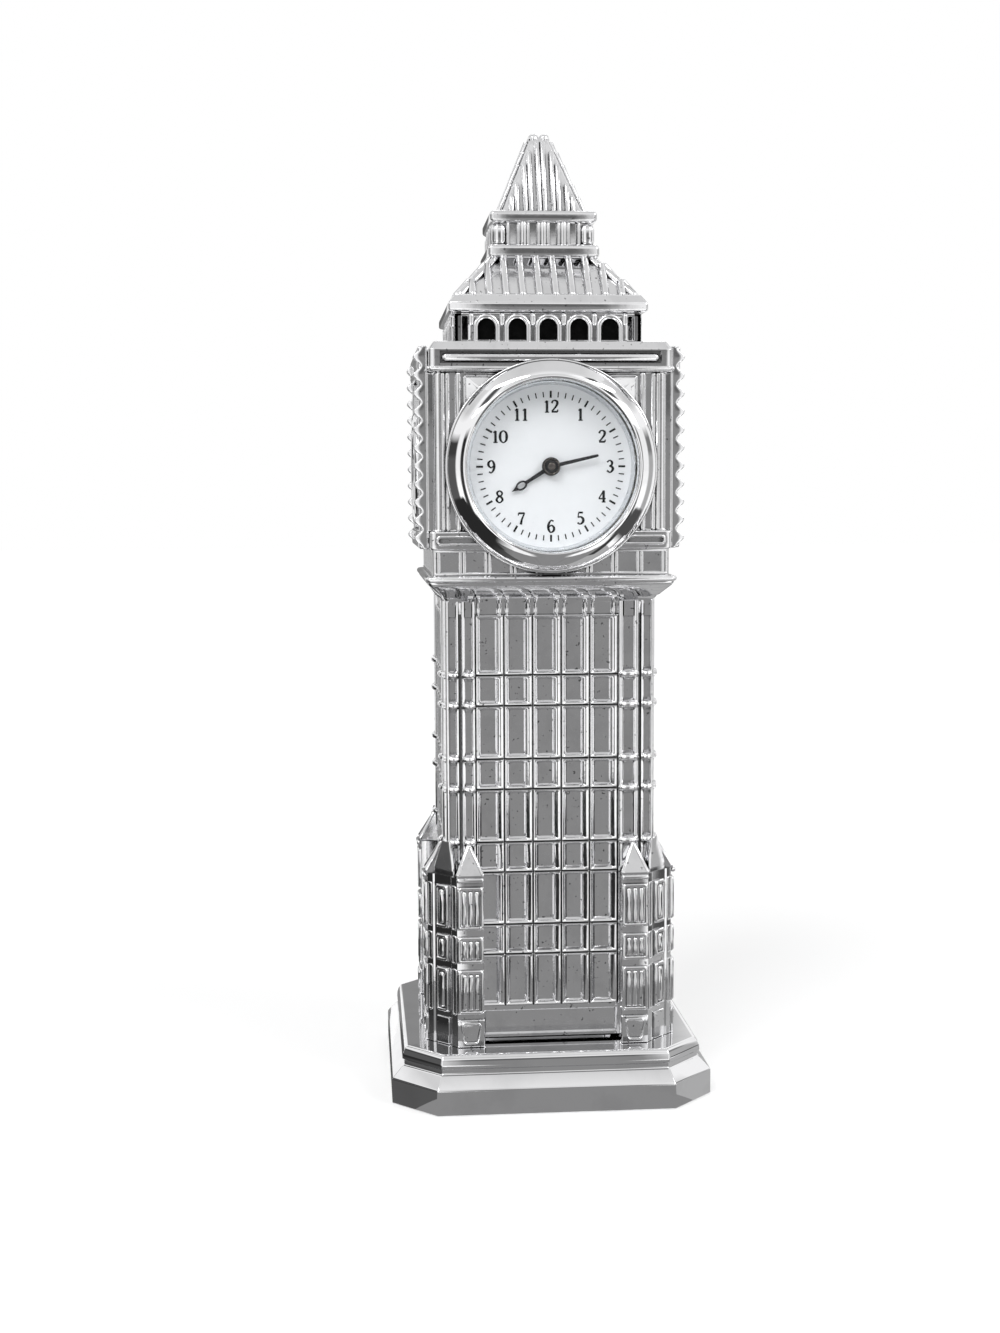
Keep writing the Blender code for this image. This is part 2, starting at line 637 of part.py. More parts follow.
def buttress_panels():
    """Recesses of the three tiers, on the front and on the side of the front right corner."""
    shape = bmesh.new()
    low = BUTTRESS_BOTTOM + BUTTRESS_FOOT
    for tier in BUTTRESS_TIERS:
        x0 = BUTTRESS_INNER + BUTTRESS_MARGIN
        x1 = BUTTRESS_INNER + BUTTRESS_WIDTH - BUTTRESS_MARGIN
        y0 = -BUTTRESS_HALF - BUTTRESS_PANEL_DEPTH
        y1 = -BUTTRESS_HALF + BUTTRESS_PANEL_DEPTH
        add_box(shape, (x0, y0, low), (x1, y1, low + tier))
        add_box(shape, (-y1, -x1, low), (-y0, -x0, low + tier))
        low += tier + BUTTRESS_BAND
    return shape


def make_buttresses():
    back = SHAFT_HALF + PILASTER_PROUD + SPIGOT_GAP
    eaves = BUTTRESS_BOTTOM + BUTTRESS_EAVES
    run = BUTTRESS_HALF - back - BUTTRESS_CREST
    for depth_name, side_y in (("front", 1), ("rear", -1)):
        for width_name, side_x in (("left", -1), ("right", 1)):
            name = "buttress_" + depth_name + "_" + width_name
            shape = prism(buttress_outline(), BUTTRESS_BOTTOM, eaves + BUTTRESS_CAP)
            cut_slope(shape, (0, -BUTTRESS_HALF, eaves), Vector((0, -BUTTRESS_CAP, run)))
            cut_slope(shape, (BUTTRESS_HALF, 0, eaves), Vector((BUTTRESS_CAP, 0, run)))
            panels = buttress_panels()
            for piece in (shape, panels):
                bmesh.ops.scale(piece, verts=piece.verts, vec=(side_x, side_y, 1))
            item = part(name, shape, chrome(name))
            boolean(item, tool(name + "_panels", panels), "DIFFERENCE")


def make_stage(clock):
    field = STAGE_HALF - FIELD_DEPTH
    levels = [(SHAFT_HALF, STAGE_BOTTOM), (SHAFT_HALF + CORNICE_COVE, STAGE_BOTTOM + CORNICE_RISE),
              (CORNICE_HALF, CORNICE_EDGE), (CORNICE_HALF, FRIEZE_BOTTOM),
              (FRIEZE_HALF, FRIEZE_BOTTOM), (FRIEZE_HALF, FRIEZE_TOP),
              (STAGE_HALF, FRIEZE_TOP), (STAGE_HALF, FIELD_BOTTOM),
              (field, FIELD_BOTTOM), (field, FIELD_TOP), (STAGE_HALF, FIELD_TOP),
              (STAGE_HALF, FIELD_TOP + UPPER_RAIL), (STAGE_HALF - UPPER_BEVEL, STAGE_TOP),
              (BELFRY_INSIDE - SPIGOT_GAP, STAGE_TOP),
              (BELFRY_INSIDE - SPIGOT_GAP, STAGE_TOP + LOCATOR_HEIGHT)]
    stage = part("clock_housing", loft([(square(w), z) for w, z in levels]), chrome("clock_housing"))
    panels = bmesh.new()
    pitch = (2 * FRIEZE_HALF - FRIEZE_RIB) / FRIEZE_BAYS
    for bay in range(FRIEZE_BAYS):
        x0 = -FRIEZE_HALF + FRIEZE_RIB + bay * pitch
        add_box(panels, (x0, -FRIEZE_HALF - FRIEZE_DEPTH, FRIEZE_BOTTOM + FRIEZE_MARGIN),
                (x0 + pitch - FRIEZE_RIB, -FRIEZE_HALF + FRIEZE_DEPTH, FRIEZE_TOP - FRIEZE_MARGIN))
    boolean(stage, tool("frieze_panels", four_sides(panels)), "DIFFERENCE")
    boss = pin(BEZEL_RADIUS + BOSS_LIP, BOSS_FRONT - BORE_DEPTH / 2, BOSS_FRONT)
    boolean(stage, tool("clock_boss", boss, clock), "UNION")
    wall = field - STAGE_WALL
    rest = STAGE_BOTTOM + SPIGOT_HEIGHT + SEAT_GAP
    hollow = box((-wall, BORE_DEPTH - BOSS_FRONT, rest - SEAT_GAP), (wall, wall, STAGE_TOP - STAGE_ROOF))
    boolean(stage, tool("stage_hollow", hollow), "DIFFERENCE")
    half = SPIGOT_HALF + SPIGOT_GAP
    socket = box((-half, -half, STAGE_BOTTOM - SPIGOT_HEIGHT), (half, half, rest))
    boolean(stage, tool("stage_socket", socket), "DIFFERENCE")
    bore = pin(STAGE_BORE, CASE_BACK - BORE_OVERCUT, BOSS_FRONT + BORE_DEPTH)
    boolean(stage, tool("clock_bore", bore, clock), "DIFFERENCE")


def bead_strip(x0, x1, back, front):
    """An upright edging whose outer side is a row of half-round beads."""
    count = int(FIELD_HEIGHT / BEAD_PITCH)
    start = FIELD_BOTTOM + (FIELD_HEIGHT - count * BEAD_PITCH) / 2
    outline = [(back, start), (front, start)]
    for step in range(1, count * BEAD_STEPS):
        share = step / BEAD_STEPS
        swell = BEAD_PROUD * abs(math.sin(math.pi * share))
        outline.append((front + swell, start + share * BEAD_PITCH))
    outline += [(front, start + count * BEAD_PITCH), (back, start + count * BEAD_PITCH)]
    shape = bmesh.new()
    ends = [[shape.verts.new((x, -w, z)) for w, z in outline] for x in (x0, x1)]
    shape.faces.new(ends[0])
    shape.faces.new(ends[1][::-1])
    for i in range(len(outline)):
        j = (i + 1) % len(outline)
        shape.faces.new((ends[0][i], ends[0][j], ends[1][j], ends[1][i]))
    return shape


def make_dial_panel(name, turn):
    """One applied face of the clock stage, modelled facing the front and then turned."""
    frame = axis_empty(name + "_frame", (0, 0, 0))
    frame.rotation_euler.z = turn
    back = STAGE_HALF + SEAT_GAP
    face = back + PANEL_THICKNESS
    low = FRIEZE_TOP + SEAT_GAP
    high = STAGE_TOP - UPPER_BEVEL - SEAT_GAP
    length = PANEL_HALF_LENGTH
    panel = part(name, box((-length, -face, low), (length, -back, high)), chrome(name), frame)
    inset = length - SEAT_GAP
    middle = back + PANEL_THICKNESS / 2
    rails = box((-inset, -face - PANEL_RAIL_PROUD, low + SEAT_GAP), (inset, -middle, FIELD_BOTTOM))
    add_box(rails, (-inset, -face - PANEL_RAIL_PROUD, FIELD_TOP), (inset, -middle, high - SEAT_GAP))
    boolean(panel, tool(name + "_rails", rails, frame), "UNION")
    for side, x0 in (("left", -inset), ("right", inset - BEAD_WIDTH)):
        beads = bead_strip(x0, x0 + BEAD_WIDTH, middle, face + BEAD_BASE)
        boolean(panel, tool(name + "_beads_" + side, beads, frame), "UNION")
    ring = BLANK_DIAL_RADIUS + BLANK_RING_WIDTH
    dial = turned([(0.0, middle), (ring, middle), (ring, face + BLANK_DIAL_PROUD + BLANK_RING_PROUD),
                   (BLANK_DIAL_RADIUS, face + BLANK_DIAL_PROUD + BLANK_RING_PROUD),
                   (BLANK_DIAL_RADIUS, face + BLANK_DIAL_PROUD), (0.0, face + BLANK_DIAL_PROUD)])
    bmesh.ops.rotate(dial, cent=(0, 0, 0), verts=dial.verts, matrix=Matrix.Rotation(math.pi / 2, 3, "X"))
    bmesh.ops.translate(dial, verts=dial.verts, vec=(0, 0, DIAL_Z))
    boolean(panel, tool(name + "_dial", dial, frame), "UNION")


def arch_outline(middle, low, high):
    """A round-headed opening in X and Z."""
    radius = ARCH_WIDTH / 2
    spring = high - radius
    outline = [(middle + radius, low)]
    for step in range(ARCH_STEPS + 1):
        turn = math.pi * step / ARCH_STEPS
        outline.append((middle + radius * math.cos(turn), spring + radius * math.sin(turn)))
    outline.append((middle - radius, low))
    return outline


def make_belfry():
    shape = prism(square(BELFRY_HALF), BELFRY_BOTTOM, BELFRY_TOP)
    belfry = part("belfry_arcade", shape, chrome("belfry_arcade"))
    inside = box((-BELFRY_INSIDE, -BELFRY_INSIDE, STAGE_BOTTOM), (BELFRY_INSIDE, BELFRY_INSIDE, ROOF_TOP))
    boolean(belfry, tool("belfry_inside", inside), "DIFFERENCE")
    low = BELFRY_BOTTOM + ARCH_SILL
    high = BELFRY_TOP - ARCH_HEAD
    openings = bmesh.new()
    for arch in range(ARCHES):
        outline = arch_outline((arch - (ARCHES - 1) / 2) * ARCH_PITCH, low, high)
        outer = [openings.verts.new((x, -EAVES_HALF, z)) for x, z in outline]
        inner = [openings.verts.new((x, -BELFRY_INSIDE + BELFRY_WALL / 2, z)) for x, z in outline]
        openings.faces.new(outer)
        openings.faces.new(inner[::-1])
        for i in range(len(outline)):
            j = (i + 1) % len(outline)
            openings.faces.new((outer[i], outer[j], inner[j], inner[i]))
    boolean(belfry, tool("belfry_arches", four_sides(openings)), "DIFFERENCE")
    slots = bmesh.new()
    slot_end = BELFRY_HALF - END_POST
    for x0, x1 in ((slot_end - END_SLOT_WIDTH, slot_end), (-slot_end, -slot_end + END_SLOT_WIDTH)):
        add_box(slots, (x0, -EAVES_HALF, low), (x1, -BELFRY_INSIDE + BELFRY_WALL / 2, high))
    for turn in range(4):
        cutter = tool("belfry_end_slots_%d" % turn, slots.copy())
        cutter.rotation_euler.z = turn * math.pi / 2
        boolean(belfry, cutter, "DIFFERENCE")
    slots.free()


def add_ribs(item, name, foot, top, count, pitch, width, proud):
    """Join upright ribs to the four slopes between two (half width, height) levels."""
    sink = 2 * SEAT_GAP
    ribs = bmesh.new()
    for rib in range(count):
        x = (rib - (count - 1) / 2) * pitch
        hip = abs(x) + width / 2 + proud
        add_box(ribs, (x - width / 2, -foot[0] - 2 * proud, foot[1] - sink),
                (x + width / 2, -max(hip, top[0] - proud), top[1] - sink))
    lean = (foot[0] - top[0]) / (top[1] - foot[1])
    low = (square(foot[0] + proud + lean * 2 * sink), foot[1] - 2 * sink)
    high = (square(top[0] + proud), top[1])
    comb = tool(name + "_ribs", four_sides(ribs))
    boolean(comb, tool(name + "_cover", loft([low, high])), "INTERSECT")
    boolean(item, comb, "UNION")


def make_lower_roof():
    levels = [(BELFRY_INSIDE - SPIGOT_GAP, ROOF_BOTTOM - LOCATOR_HEIGHT),
              (BELFRY_INSIDE - SPIGOT_GAP, ROOF_BOTTOM), (BELFRY_HALF, ROOF_BOTTOM),
              (EAVES_HALF, ROOF_BOTTOM + EAVES_COVE), (EAVES_HALF, ROOF_BOTTOM + EAVES_COVE + EAVES_FACE),
              (EAVES_HALF - EAVES_BEVEL, ROOF_FOOT), (ROOF_FOOT_HALF, ROOF_FOOT),
              (ROOF_TOP_HALF, ROOF_TOP), (LANTERN_INSIDE - SPIGOT_GAP, ROOF_TOP),
              (LANTERN_INSIDE - SPIGOT_GAP, ROOF_TOP + LOCATOR_HEIGHT)]
    roof = part("lower_roof", loft([(square(w), z) for w, z in levels]), chrome("lower_roof"))
    add_ribs(roof, "roof", (ROOF_FOOT_HALF, ROOF_FOOT), (ROOF_TOP_HALF, ROOF_TOP),
             ROOF_RIBS, ROOF_RIB_PITCH, ROOF_RIB_WIDTH, ROOF_RIB_PROUD)


def rim_levels(half, low, height):
    """A rim with rounded edges, as half widths and heights."""
    turn = height * RIM_ROUND
    return [(half - turn, low), (half, low + turn), (half, low + height - turn), (half - turn, low + height)]


def make_lantern():
    rim_top = LANTERN_BOTTOM + LANTERN_RIM
    levels = rim_levels(LANTERN_HALF + LANTERN_RIM_PROUD, LANTERN_BOTTOM, LANTERN_RIM)
    levels += [(LANTERN_HALF, rim_top), (LANTERN_HALF, LANTERN_TOP)]
    lantern = part("lantern", loft([(square(w), z) for w, z in levels]), chrome("lantern"))
    inside = box((-LANTERN_INSIDE, -LANTERN_INSIDE, ROOF_BOTTOM), (LANTERN_INSIDE, LANTERN_INSIDE, SPIRE_TOP))
    boolean(lantern, tool("lantern_inside", inside), "DIFFERENCE")
    slots = bmesh.new()
    for slot in range(LANTERN_SLOTS):
        x = (slot - (LANTERN_SLOTS - 1) / 2) * LANTERN_SLOT_PITCH
        add_box(slots, (x - LANTERN_SLOT_WIDTH / 2, -EAVES_HALF, rim_top + LANTERN_SLOT_MARGIN),
                (x + LANTERN_SLOT_WIDTH / 2, -LANTERN_INSIDE + LANTERN_WALL / 4,
                 LANTERN_TOP - LANTERN_SLOT_MARGIN))
    boolean(lantern, tool("lantern_slots", four_sides(slots)), "DIFFERENCE")


def make_spire():
    rim = LANTERN_HALF + SPIRE_RIM_PROUD
    foot = rim - SPIRE_FOOT_INSET
    levels = [(LANTERN_INSIDE - SPIGOT_GAP, SPIRE_BOTTOM - LOCATOR_HEIGHT),
              (LANTERN_INSIDE - SPIGOT_GAP, SPIRE_BOTTOM)]
    levels += rim_levels(rim, SPIRE_BOTTOM, SPIRE_RIM)
    levels += [(foot, SPIRE_FOOT), (SPIRE_TOP_HALF, SPIRE_TOP),
               (SPIRE_TOP_HALF - SPIRE_CREST_TAPER, SPIRE_TOP + SPIRE_CREST)]
    spire = part("spire", loft([(square(w), z) for w, z in levels]), chrome("spire"))
    add_ribs(spire, "spire", (foot, SPIRE_FOOT), (SPIRE_TOP_HALF, SPIRE_TOP),
             SPIRE_RIBS, SPIRE_RIB_PITCH, SPIRE_RIB_WIDTH, SPIRE_RIB_PROUD)


def round_part(name, shape, finish, parent):
    item = part(name, shape, finish, parent)
    smooth(item)
    return item


def make_bezel(clock):
    lip = CRYSTAL_FRONT + SEAT_GAP
    middle = (BEZEL_RADIUS + BEZEL_OPENING) / 2
    reach = (BEZEL_RADIUS - BEZEL_OPENING) / 2
    start = BEZEL_BACK + BEZEL_EDGE
    rise = BEZEL_BACK + BEZEL_HEIGHT - (start + lip + BEZEL_LIP) / 2
    profile = [(BEZEL_RADIUS - BEZEL_EDGE, BEZEL_BACK)]
    for step in range(BEZEL_STEPS + 1):
        share = step / BEZEL_STEPS
        height = start + share * (lip + BEZEL_LIP - start) + rise * math.sin(math.pi * share)
        profile.append((middle + reach * math.cos(math.pi * share), height))
    skirt = CASE_RADIUS - SKIRT_WALL
    profile += [(BEZEL_OPENING, lip), (CRYSTAL_RADIUS + SEAT_GAP, lip),
                (CRYSTAL_RADIUS + SEAT_GAP, BEZEL_BACK), (skirt, BEZEL_BACK),
                (skirt, BEZEL_BACK - SKIRT_DEPTH), (CASE_RADIUS, BEZEL_BACK - SKIRT_DEPTH),
                (CASE_RADIUS, BEZEL_BACK)]
    round_part("bezel", turned(profile), chrome("bezel"), clock)


def make_case(clock):
    rebate = CASE_RADIUS - SKIRT_WALL - SEAT_GAP
    rebate_low = BEZEL_BACK - SKIRT_DEPTH - SEAT_GAP
    groove = CASE_RADIUS - GRIP_DEPTH
    grip_top = CASE_FRONT - GRIP_FROM_FRONT
    grip_low = grip_top - GRIP_WIDTH
    profile = [(DIAL_POCKET, CASE_FRONT), (rebate, CASE_FRONT), (rebate, rebate_low),
               (CASE_RADIUS, rebate_low), (CASE_RADIUS, grip_top), (groove, grip_top),
               (groove, grip_low), (CASE_RADIUS, grip_low), (CASE_RADIUS, CASE_BACK),
               (CASE_BORE, CASE_BACK), (CASE_BORE, SHOULDER_FRONT), (DIAL_POCKET, SHOULDER_FRONT)]
    round_part("insert_case", turned(profile), brass("insert_case"), clock)
    band = tube(STAGE_BORE - GRIP_GAP, groove + SEAT_GAP, grip_low + SEAT_GAP, grip_top - SEAT_GAP)
    round_part("grip_ring", band, plastic("grip_ring", (0.75, 0.75, 0.72)), clock)


def make_dial_side(clock):
    glass = make_material("crystal_glass", (0.9, 0.95, 0.95), 0.0, 0.02)
    round_part("crystal", pin(CRYSTAL_RADIUS, CRYSTAL_BACK, CRYSTAL_FRONT), glass, clock)
    outer = DIAL_POCKET - SEAT_GAP
    ring = tube(outer, outer - DIAL_RING_WIDTH, DIAL_FRONT + SEAT_GAP, CRYSTAL_BACK - SEAT_GAP)
    round_part("dial_ring", ring, steel("dial_ring"), clock)
    white = make_material("dial_paint", (0.9, 0.91, 0.93), 0.0, 0.4)
    round_part("dial", tube(outer, DIAL_HOLE, DIAL_BACK, DIAL_FRONT), white, clock)


def drill(item, name, radius, low, high, x, y, clock):
    hole = prism(circle(radius, HOLE_STEPS, x, y), low, high)
    boolean(item, tool(name, hole, clock), "DIFFERENCE")


def make_movement(clock):
    bore = ARBOR_RADIUS + RUN_GAP
    plate = part("movement_plate", pin(MOVEMENT_RADIUS, PLATE_BACK, PLATE_FRONT),
                 brass("movement_plate"), clock)
    post_top = HIGH_WHEEL + WHEEL_THICKNESS + WHEEL_GAP
    post = prism(circle(POST_RADIUS, HOLE_STEPS, MINUTE_X, MINUTE_Y), PLATE_BACK + SEAT_GAP, post_top)
    boolean(plate, tool("minute_post", post, clock), "UNION")
    drill(plate, "plate_centre_hole", bore, CASE_BACK, CASE_FRONT, 0.0, 0.0, clock)
    drill(plate, "plate_set_hole", bore, CASE_BACK, CASE_FRONT, SET_X, SET_Y, clock)
    holder = tube(MOVEMENT_RADIUS, HOLDER_INSIDE, BACK_FRONT + SEAT_GAP, PLATE_BACK - SEAT_GAP)
    part("movement_holder", holder, plastic("movement_holder", (0.85, 0.85, 0.82)), clock)
    board = part("circuit_board", pin(HOLDER_INSIDE - SPIGOT_GAP, BOARD_BACK, BOARD_FRONT),
                 plastic("circuit_board", (0.05, 0.25, 0.1)), clock)
    drill(board, "board_set_hole", bore, CASE_BACK, CASE_FRONT, SET_X, SET_Y, clock)
    back = part("case_back", pin(MOVEMENT_RADIUS, CASE_BACK, BACK_FRONT), steel("case_back"), clock)
    drill(back, "back_set_hole", bore, CASE_BACK - CASE_DEPTH, CASE_FRONT, SET_X, SET_Y, clock)
    low = BOARD_FRONT + SEAT_GAP
    clip = box((BATTERY_X - BATTERY_RADIUS, BATTERY_Y - CLIP_WIDTH / 2, low),
               (BATTERY_X + BATTERY_RADIUS / 2, BATTERY_Y + CLIP_WIDTH / 2, low + CLIP_THICKNESS))
    part("battery_clip", clip, steel("battery_clip"), clock)
    cell = prism(circle(BATTERY_RADIUS, x=BATTERY_X, y=BATTERY_Y), low + CLIP_THICKNESS + SEAT_GAP,
                 PLATE_BACK - SEAT_GAP)
    part("battery", cell, steel("battery"), clock)
    train = part("train_case", box((-TRAIN_LEFT, -TRAIN_BELOW, low),
                                   (TRAIN_RIGHT, TRAIN_ABOVE, PLATE_BACK - SEAT_GAP)),
                 plastic("train_case", (0.04, 0.04, 0.04)), clock)
    drill(train, "train_bearing", bore, ARBOR_END - SEAT_GAP, CASE_FRONT, 0.0, 0.0, clock)
    winding = part("coil", pin(COIL_RADIUS, -COIL_LENGTH / 2, COIL_LENGTH / 2, HOLE_STEPS),
                   make_material("coil_copper", (0.55, 0.25, 0.1), 1.0, 0.35), clock)
    winding.location = (0.0, COIL_Y, low + COIL_RADIUS)
    winding.rotation_euler.y = math.pi / 2


def make_motion_work(clock):
    tip = NUT_AT + NUT_HEIGHT - 2 * NUT_CROWN
    spindle = pin(ARBOR_RADIUS, ARBOR_END, tip, HOLE_STEPS)
    arbor = part("centre_arbor", spindle, steel("centre_arbor"), clock)
    cannon = prism(gear_outline(CANNON_TEETH, CANNON_PHASE), LOW_WHEEL, LOW_WHEEL + WHEEL_THICKNESS)
    boolean(arbor, tool("cannon_pinion", cannon, clock), "UNION")
    hour_bore = ARBOR_RADIUS + RUN_GAP
    high_top = HIGH_WHEEL + WHEEL_THICKNESS
    hour = part("hour_wheel", prism(gear_outline(HOUR_TEETH, HOUR_PHASE), HIGH_WHEEL, high_top),
                brass("hour_wheel"), clock)
    pipe = pin(PIPE_RADIUS, HIGH_WHEEL + SEAT_GAP, HOUR_HAND_AT + HAND_BOSS, HOLE_STEPS)
    boolean(hour, tool("hour_pipe", pipe, clock), "UNION")
    drill(hour, "hour_bore", hour_bore, CASE_BACK, BOSS_FRONT, 0.0, 0.0, clock)
    minute_axis = axis_empty("minute_wheel_axis", (MINUTE_X, MINUTE_Y, 0.0), clock)
    minute = part("minute_wheel", prism(gear_outline(MINUTE_TEETH, MINUTE_PHASE), LOW_WHEEL,
                                        LOW_WHEEL + WHEEL_THICKNESS), brass("minute_wheel"), minute_axis)
    pinion = prism(gear_outline(PINION_TEETH, PINION_PHASE), LOW_WHEEL + WHEEL_THICKNESS / 2, high_top)
    boolean(minute, tool("minute_pinion", pinion, minute_axis), "UNION")
    drill(minute, "minute_bore", POST_RADIUS + RUN_GAP, CASE_BACK, BOSS_FRONT, 0.0, 0.0, minute_axis)
    set_axis = axis_empty("set_axis", (SET_X, SET_Y, 0.0), clock)
    knob_top = CASE_BACK - KNOB_GAP
    arbor_low = knob_top - KNOB_HEIGHT / 2
    rod = pin(ARBOR_RADIUS, arbor_low, LOW_WHEEL + WHEEL_THICKNESS + SEAT_GAP, HOLE_STEPS)
    setter = part("set_arbor", rod, steel("set_arbor"), set_axis)
    set_pinion = prism(gear_outline(SET_TEETH, SET_PHASE), LOW_WHEEL, LOW_WHEEL + WHEEL_THICKNESS)
    boolean(setter, tool("set_pinion", set_pinion, set_axis), "UNION")
    socket = ARBOR_RADIUS + SEAT_GAP
    socket_end = arbor_low - SEAT_GAP
    profile = [(socket, knob_top), (KNOB_RADIUS, knob_top), (KNOB_RADIUS, knob_top - KNOB_HEIGHT),
               (0.0, knob_top - KNOB_HEIGHT), (0.0, socket_end), (socket, socket_end)]
    part("set_knob", turned(profile, SCREW_STEPS), plastic("set_knob", (0.05, 0.05, 0.05)), set_axis)


def make_hand(name, blade, at, boss_radius, bore, clockwise, clock):
    """A flat hand that points along +X before it is turned to its place on the dial."""
    low = at + (HAND_BOSS - HAND_THICKNESS) / 2
    pivot = axis_empty(name + "_axis", (0.0, 0.0, 0.0), clock)
    pivot.rotation_euler.z = math.pi / 2 - clockwise
    black = make_material(name + "_black", (0.02, 0.02, 0.025), 0.3, 0.35)
    hand = part(name, pin(boss_radius, at, at + HAND_BOSS, SCREW_STEPS), black, pivot)
    boolean(hand, tool(name + "_blade", prism(blade, low, low + HAND_THICKNESS), pivot), "UNION")
    drill(hand, name + "_bore", bore, CASE_BACK, CRYSTAL_FRONT, 0.0, 0.0, pivot)
    return hand, pivot


def make_hands(clock):
    half = HOUR_HAND_WIDTH / 2
    start = HAND_BOSS_RADIUS / 2
    upper = [(HOUR_LOOP_AT - HOUR_LEAF_START, half)]
    upper += [(HOUR_LOOP_AT + along, across) for along, across in HOUR_LEAF]
    blade = [(start, -half)] + [(x, -y) for x, y in upper] + [(HOUR_HAND_LENGTH, 0.0)]
    blade += upper[::-1] + [(start, half)]
    pipe_bore = PIPE_RADIUS + SEAT_GAP
    hand, pivot = make_hand("hour_hand", blade, HOUR_HAND_AT, HAND_BOSS_RADIUS, pipe_bore,
                            HOUR_HAND_CLOCKWISE, clock)
    drill(hand, "hour_loop_hole", HOUR_LOOP_HOLE, CASE_BACK, CRYSTAL_FRONT, HOUR_LOOP_AT, 0.0, pivot)
    half = MINUTE_HAND_WIDTH / 2
    blade = rectangle(MINUTE_HAND_START, MINUTE_HAND_LENGTH, -half, half)
    make_hand("minute_hand", blade, MINUTE_HAND_AT, HAND_BOSS_RADIUS, ARBOR_RADIUS + SEAT_GAP,
              MINUTE_HAND_CLOCKWISE, clock)
    bore = ARBOR_RADIUS + SEAT_GAP
    top = NUT_AT + NUT_HEIGHT
    nut = turned([(bore, NUT_AT), (NUT_RADIUS, NUT_AT), (NUT_RADIUS, top), (0.0, top),
                  (0.0, top - NUT_CROWN), (bore, top - NUT_CROWN)], SCREW_STEPS)
    part("hand_nut", nut, make_material("hand_nut_black", (0.03, 0.03, 0.03), 0.4, 0.3), clock)


def main():
    clear_scene()
    clock = axis_empty("clock_axis", (0.0, 0.0, DIAL_Z))
    clock.rotation_euler.x = math.pi / 2
    make_base()
    make_shaft()
    make_buttresses()
    make_stage(clock)
    for name, turn in (("dial_panel_right", 1), ("dial_panel_rear", 2), ("dial_panel_left", 3)):
        make_dial_panel(name, turn * math.pi / 2)
    make_belfry()
    make_lower_roof()
    make_lantern()
    make_spire()
    make_bezel(clock)
    make_case(clock)
    make_dial_side(clock)
    make_movement(clock)
    make_motion_work(clock)
    make_hands(clock)


main()
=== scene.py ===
"""Chrome-plated clock-tower souvenir: fine surfaces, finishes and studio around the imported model."""
import math

import bmesh
import bpy
from mathutils import Matrix, Vector


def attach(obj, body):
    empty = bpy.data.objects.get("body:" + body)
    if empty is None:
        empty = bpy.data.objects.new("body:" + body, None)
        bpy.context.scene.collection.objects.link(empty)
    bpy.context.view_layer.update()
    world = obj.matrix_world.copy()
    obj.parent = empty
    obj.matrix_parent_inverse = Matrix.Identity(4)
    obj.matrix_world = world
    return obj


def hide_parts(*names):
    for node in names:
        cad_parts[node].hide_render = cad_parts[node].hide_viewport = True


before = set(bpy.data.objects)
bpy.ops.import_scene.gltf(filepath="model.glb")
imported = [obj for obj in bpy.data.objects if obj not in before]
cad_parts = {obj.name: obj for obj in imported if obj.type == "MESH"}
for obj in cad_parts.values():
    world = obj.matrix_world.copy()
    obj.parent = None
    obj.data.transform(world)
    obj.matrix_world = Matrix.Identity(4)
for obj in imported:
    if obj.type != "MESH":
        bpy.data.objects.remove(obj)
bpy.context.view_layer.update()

# Sizes here are in millimetres, as distances w from the tower's axis and heights z
MM = 0.001
SIDES = 4
ARC_STEPS = 5
SQUARE_ON = 0.9999
FLAT_ANGLE = math.radians(0.05)
WELD = 0.0005
FORWARD = Vector((0, -1, 0))

# Camera, from the photograph's perspective
CAMERA_PLACE = (-25.2923, -242.5150, 80.7362)
CAMERA_RIGHT = (0.99665068, -0.08163335, -0.00484017)
CAMERA_UP = (0.01274134, 0.09654755, 0.99524682)
CAMERA_FORWARD = (0.08077802, 0.99197508, -0.0972643)
CAMERA_LENS = 47.16

# Base
BASE_HALF = 21.5
BASE_CHAMFER = 5.8
BASE_TOP = 7.7
FOOT_TOP = 3.5
STEP_LOW = 5.0
STEP_TOP = 6.0
STEP_INSET = 1.4
UPPER_INSET = 2.3
PAD_INSET = 2.4
PAD_POCKET = 1.25
RISER_HALF = 10.9
RISER_TOP = 8.15

# Shaft
SHAFT_LOW = 8.2
SHAFT_TOP = 65.2
SHAFT_HALF = 13.9
PANEL_FACE = 13.4
ROLL_FACE = 14.1
GROOVE_FACE = 13.45
CELL_START = -9.95
CELL_PITCH = 3.8
CELLS = 5
CELL_END = CELL_START + CELLS * CELL_PITCH
LEFT_ROLL = 0.75
RIGHT_ROLL = 1.15
COURSE_ROLL = 0.62
POST_INNER = 12.05
PILASTER_OUTER = 11.8
PILASTER_FACE = 14.3
FIRST_COURSE = 12.5
STOREY = 11.17
TALL_ROW = 7.1
STOREYS = 5
RING_HALF = 0.6
RING_PROUD = 0.5
RIDGE = 0.16
BEVEL_SHARES = (0.02, 0.09, 0.16, 0.17, 0.4, 0.65, 0.85, 1.0)
STRIP_HEAD = 66.9
HIDDEN_FACE = 13.0
STRIP_ROLL = 0.4
STRIP_SLOT = 0.6
STRIP_END = 0.25
STRIP_CLOSE = 64.9
ROLL_SHARE = 0.26
ROLL_SHARES = (0.0, 0.03, 0.08, 0.14, 0.2, 0.255, 0.265, 0.48)
SHAFT_HEAD = 65.1
PLAIN_FACE = 13.55
PLAIN_HALF = 9.0
PLAIN_LOW = 8.55
PLAIN_TOP = 11.9
PLAIN_BEVEL = 0.2

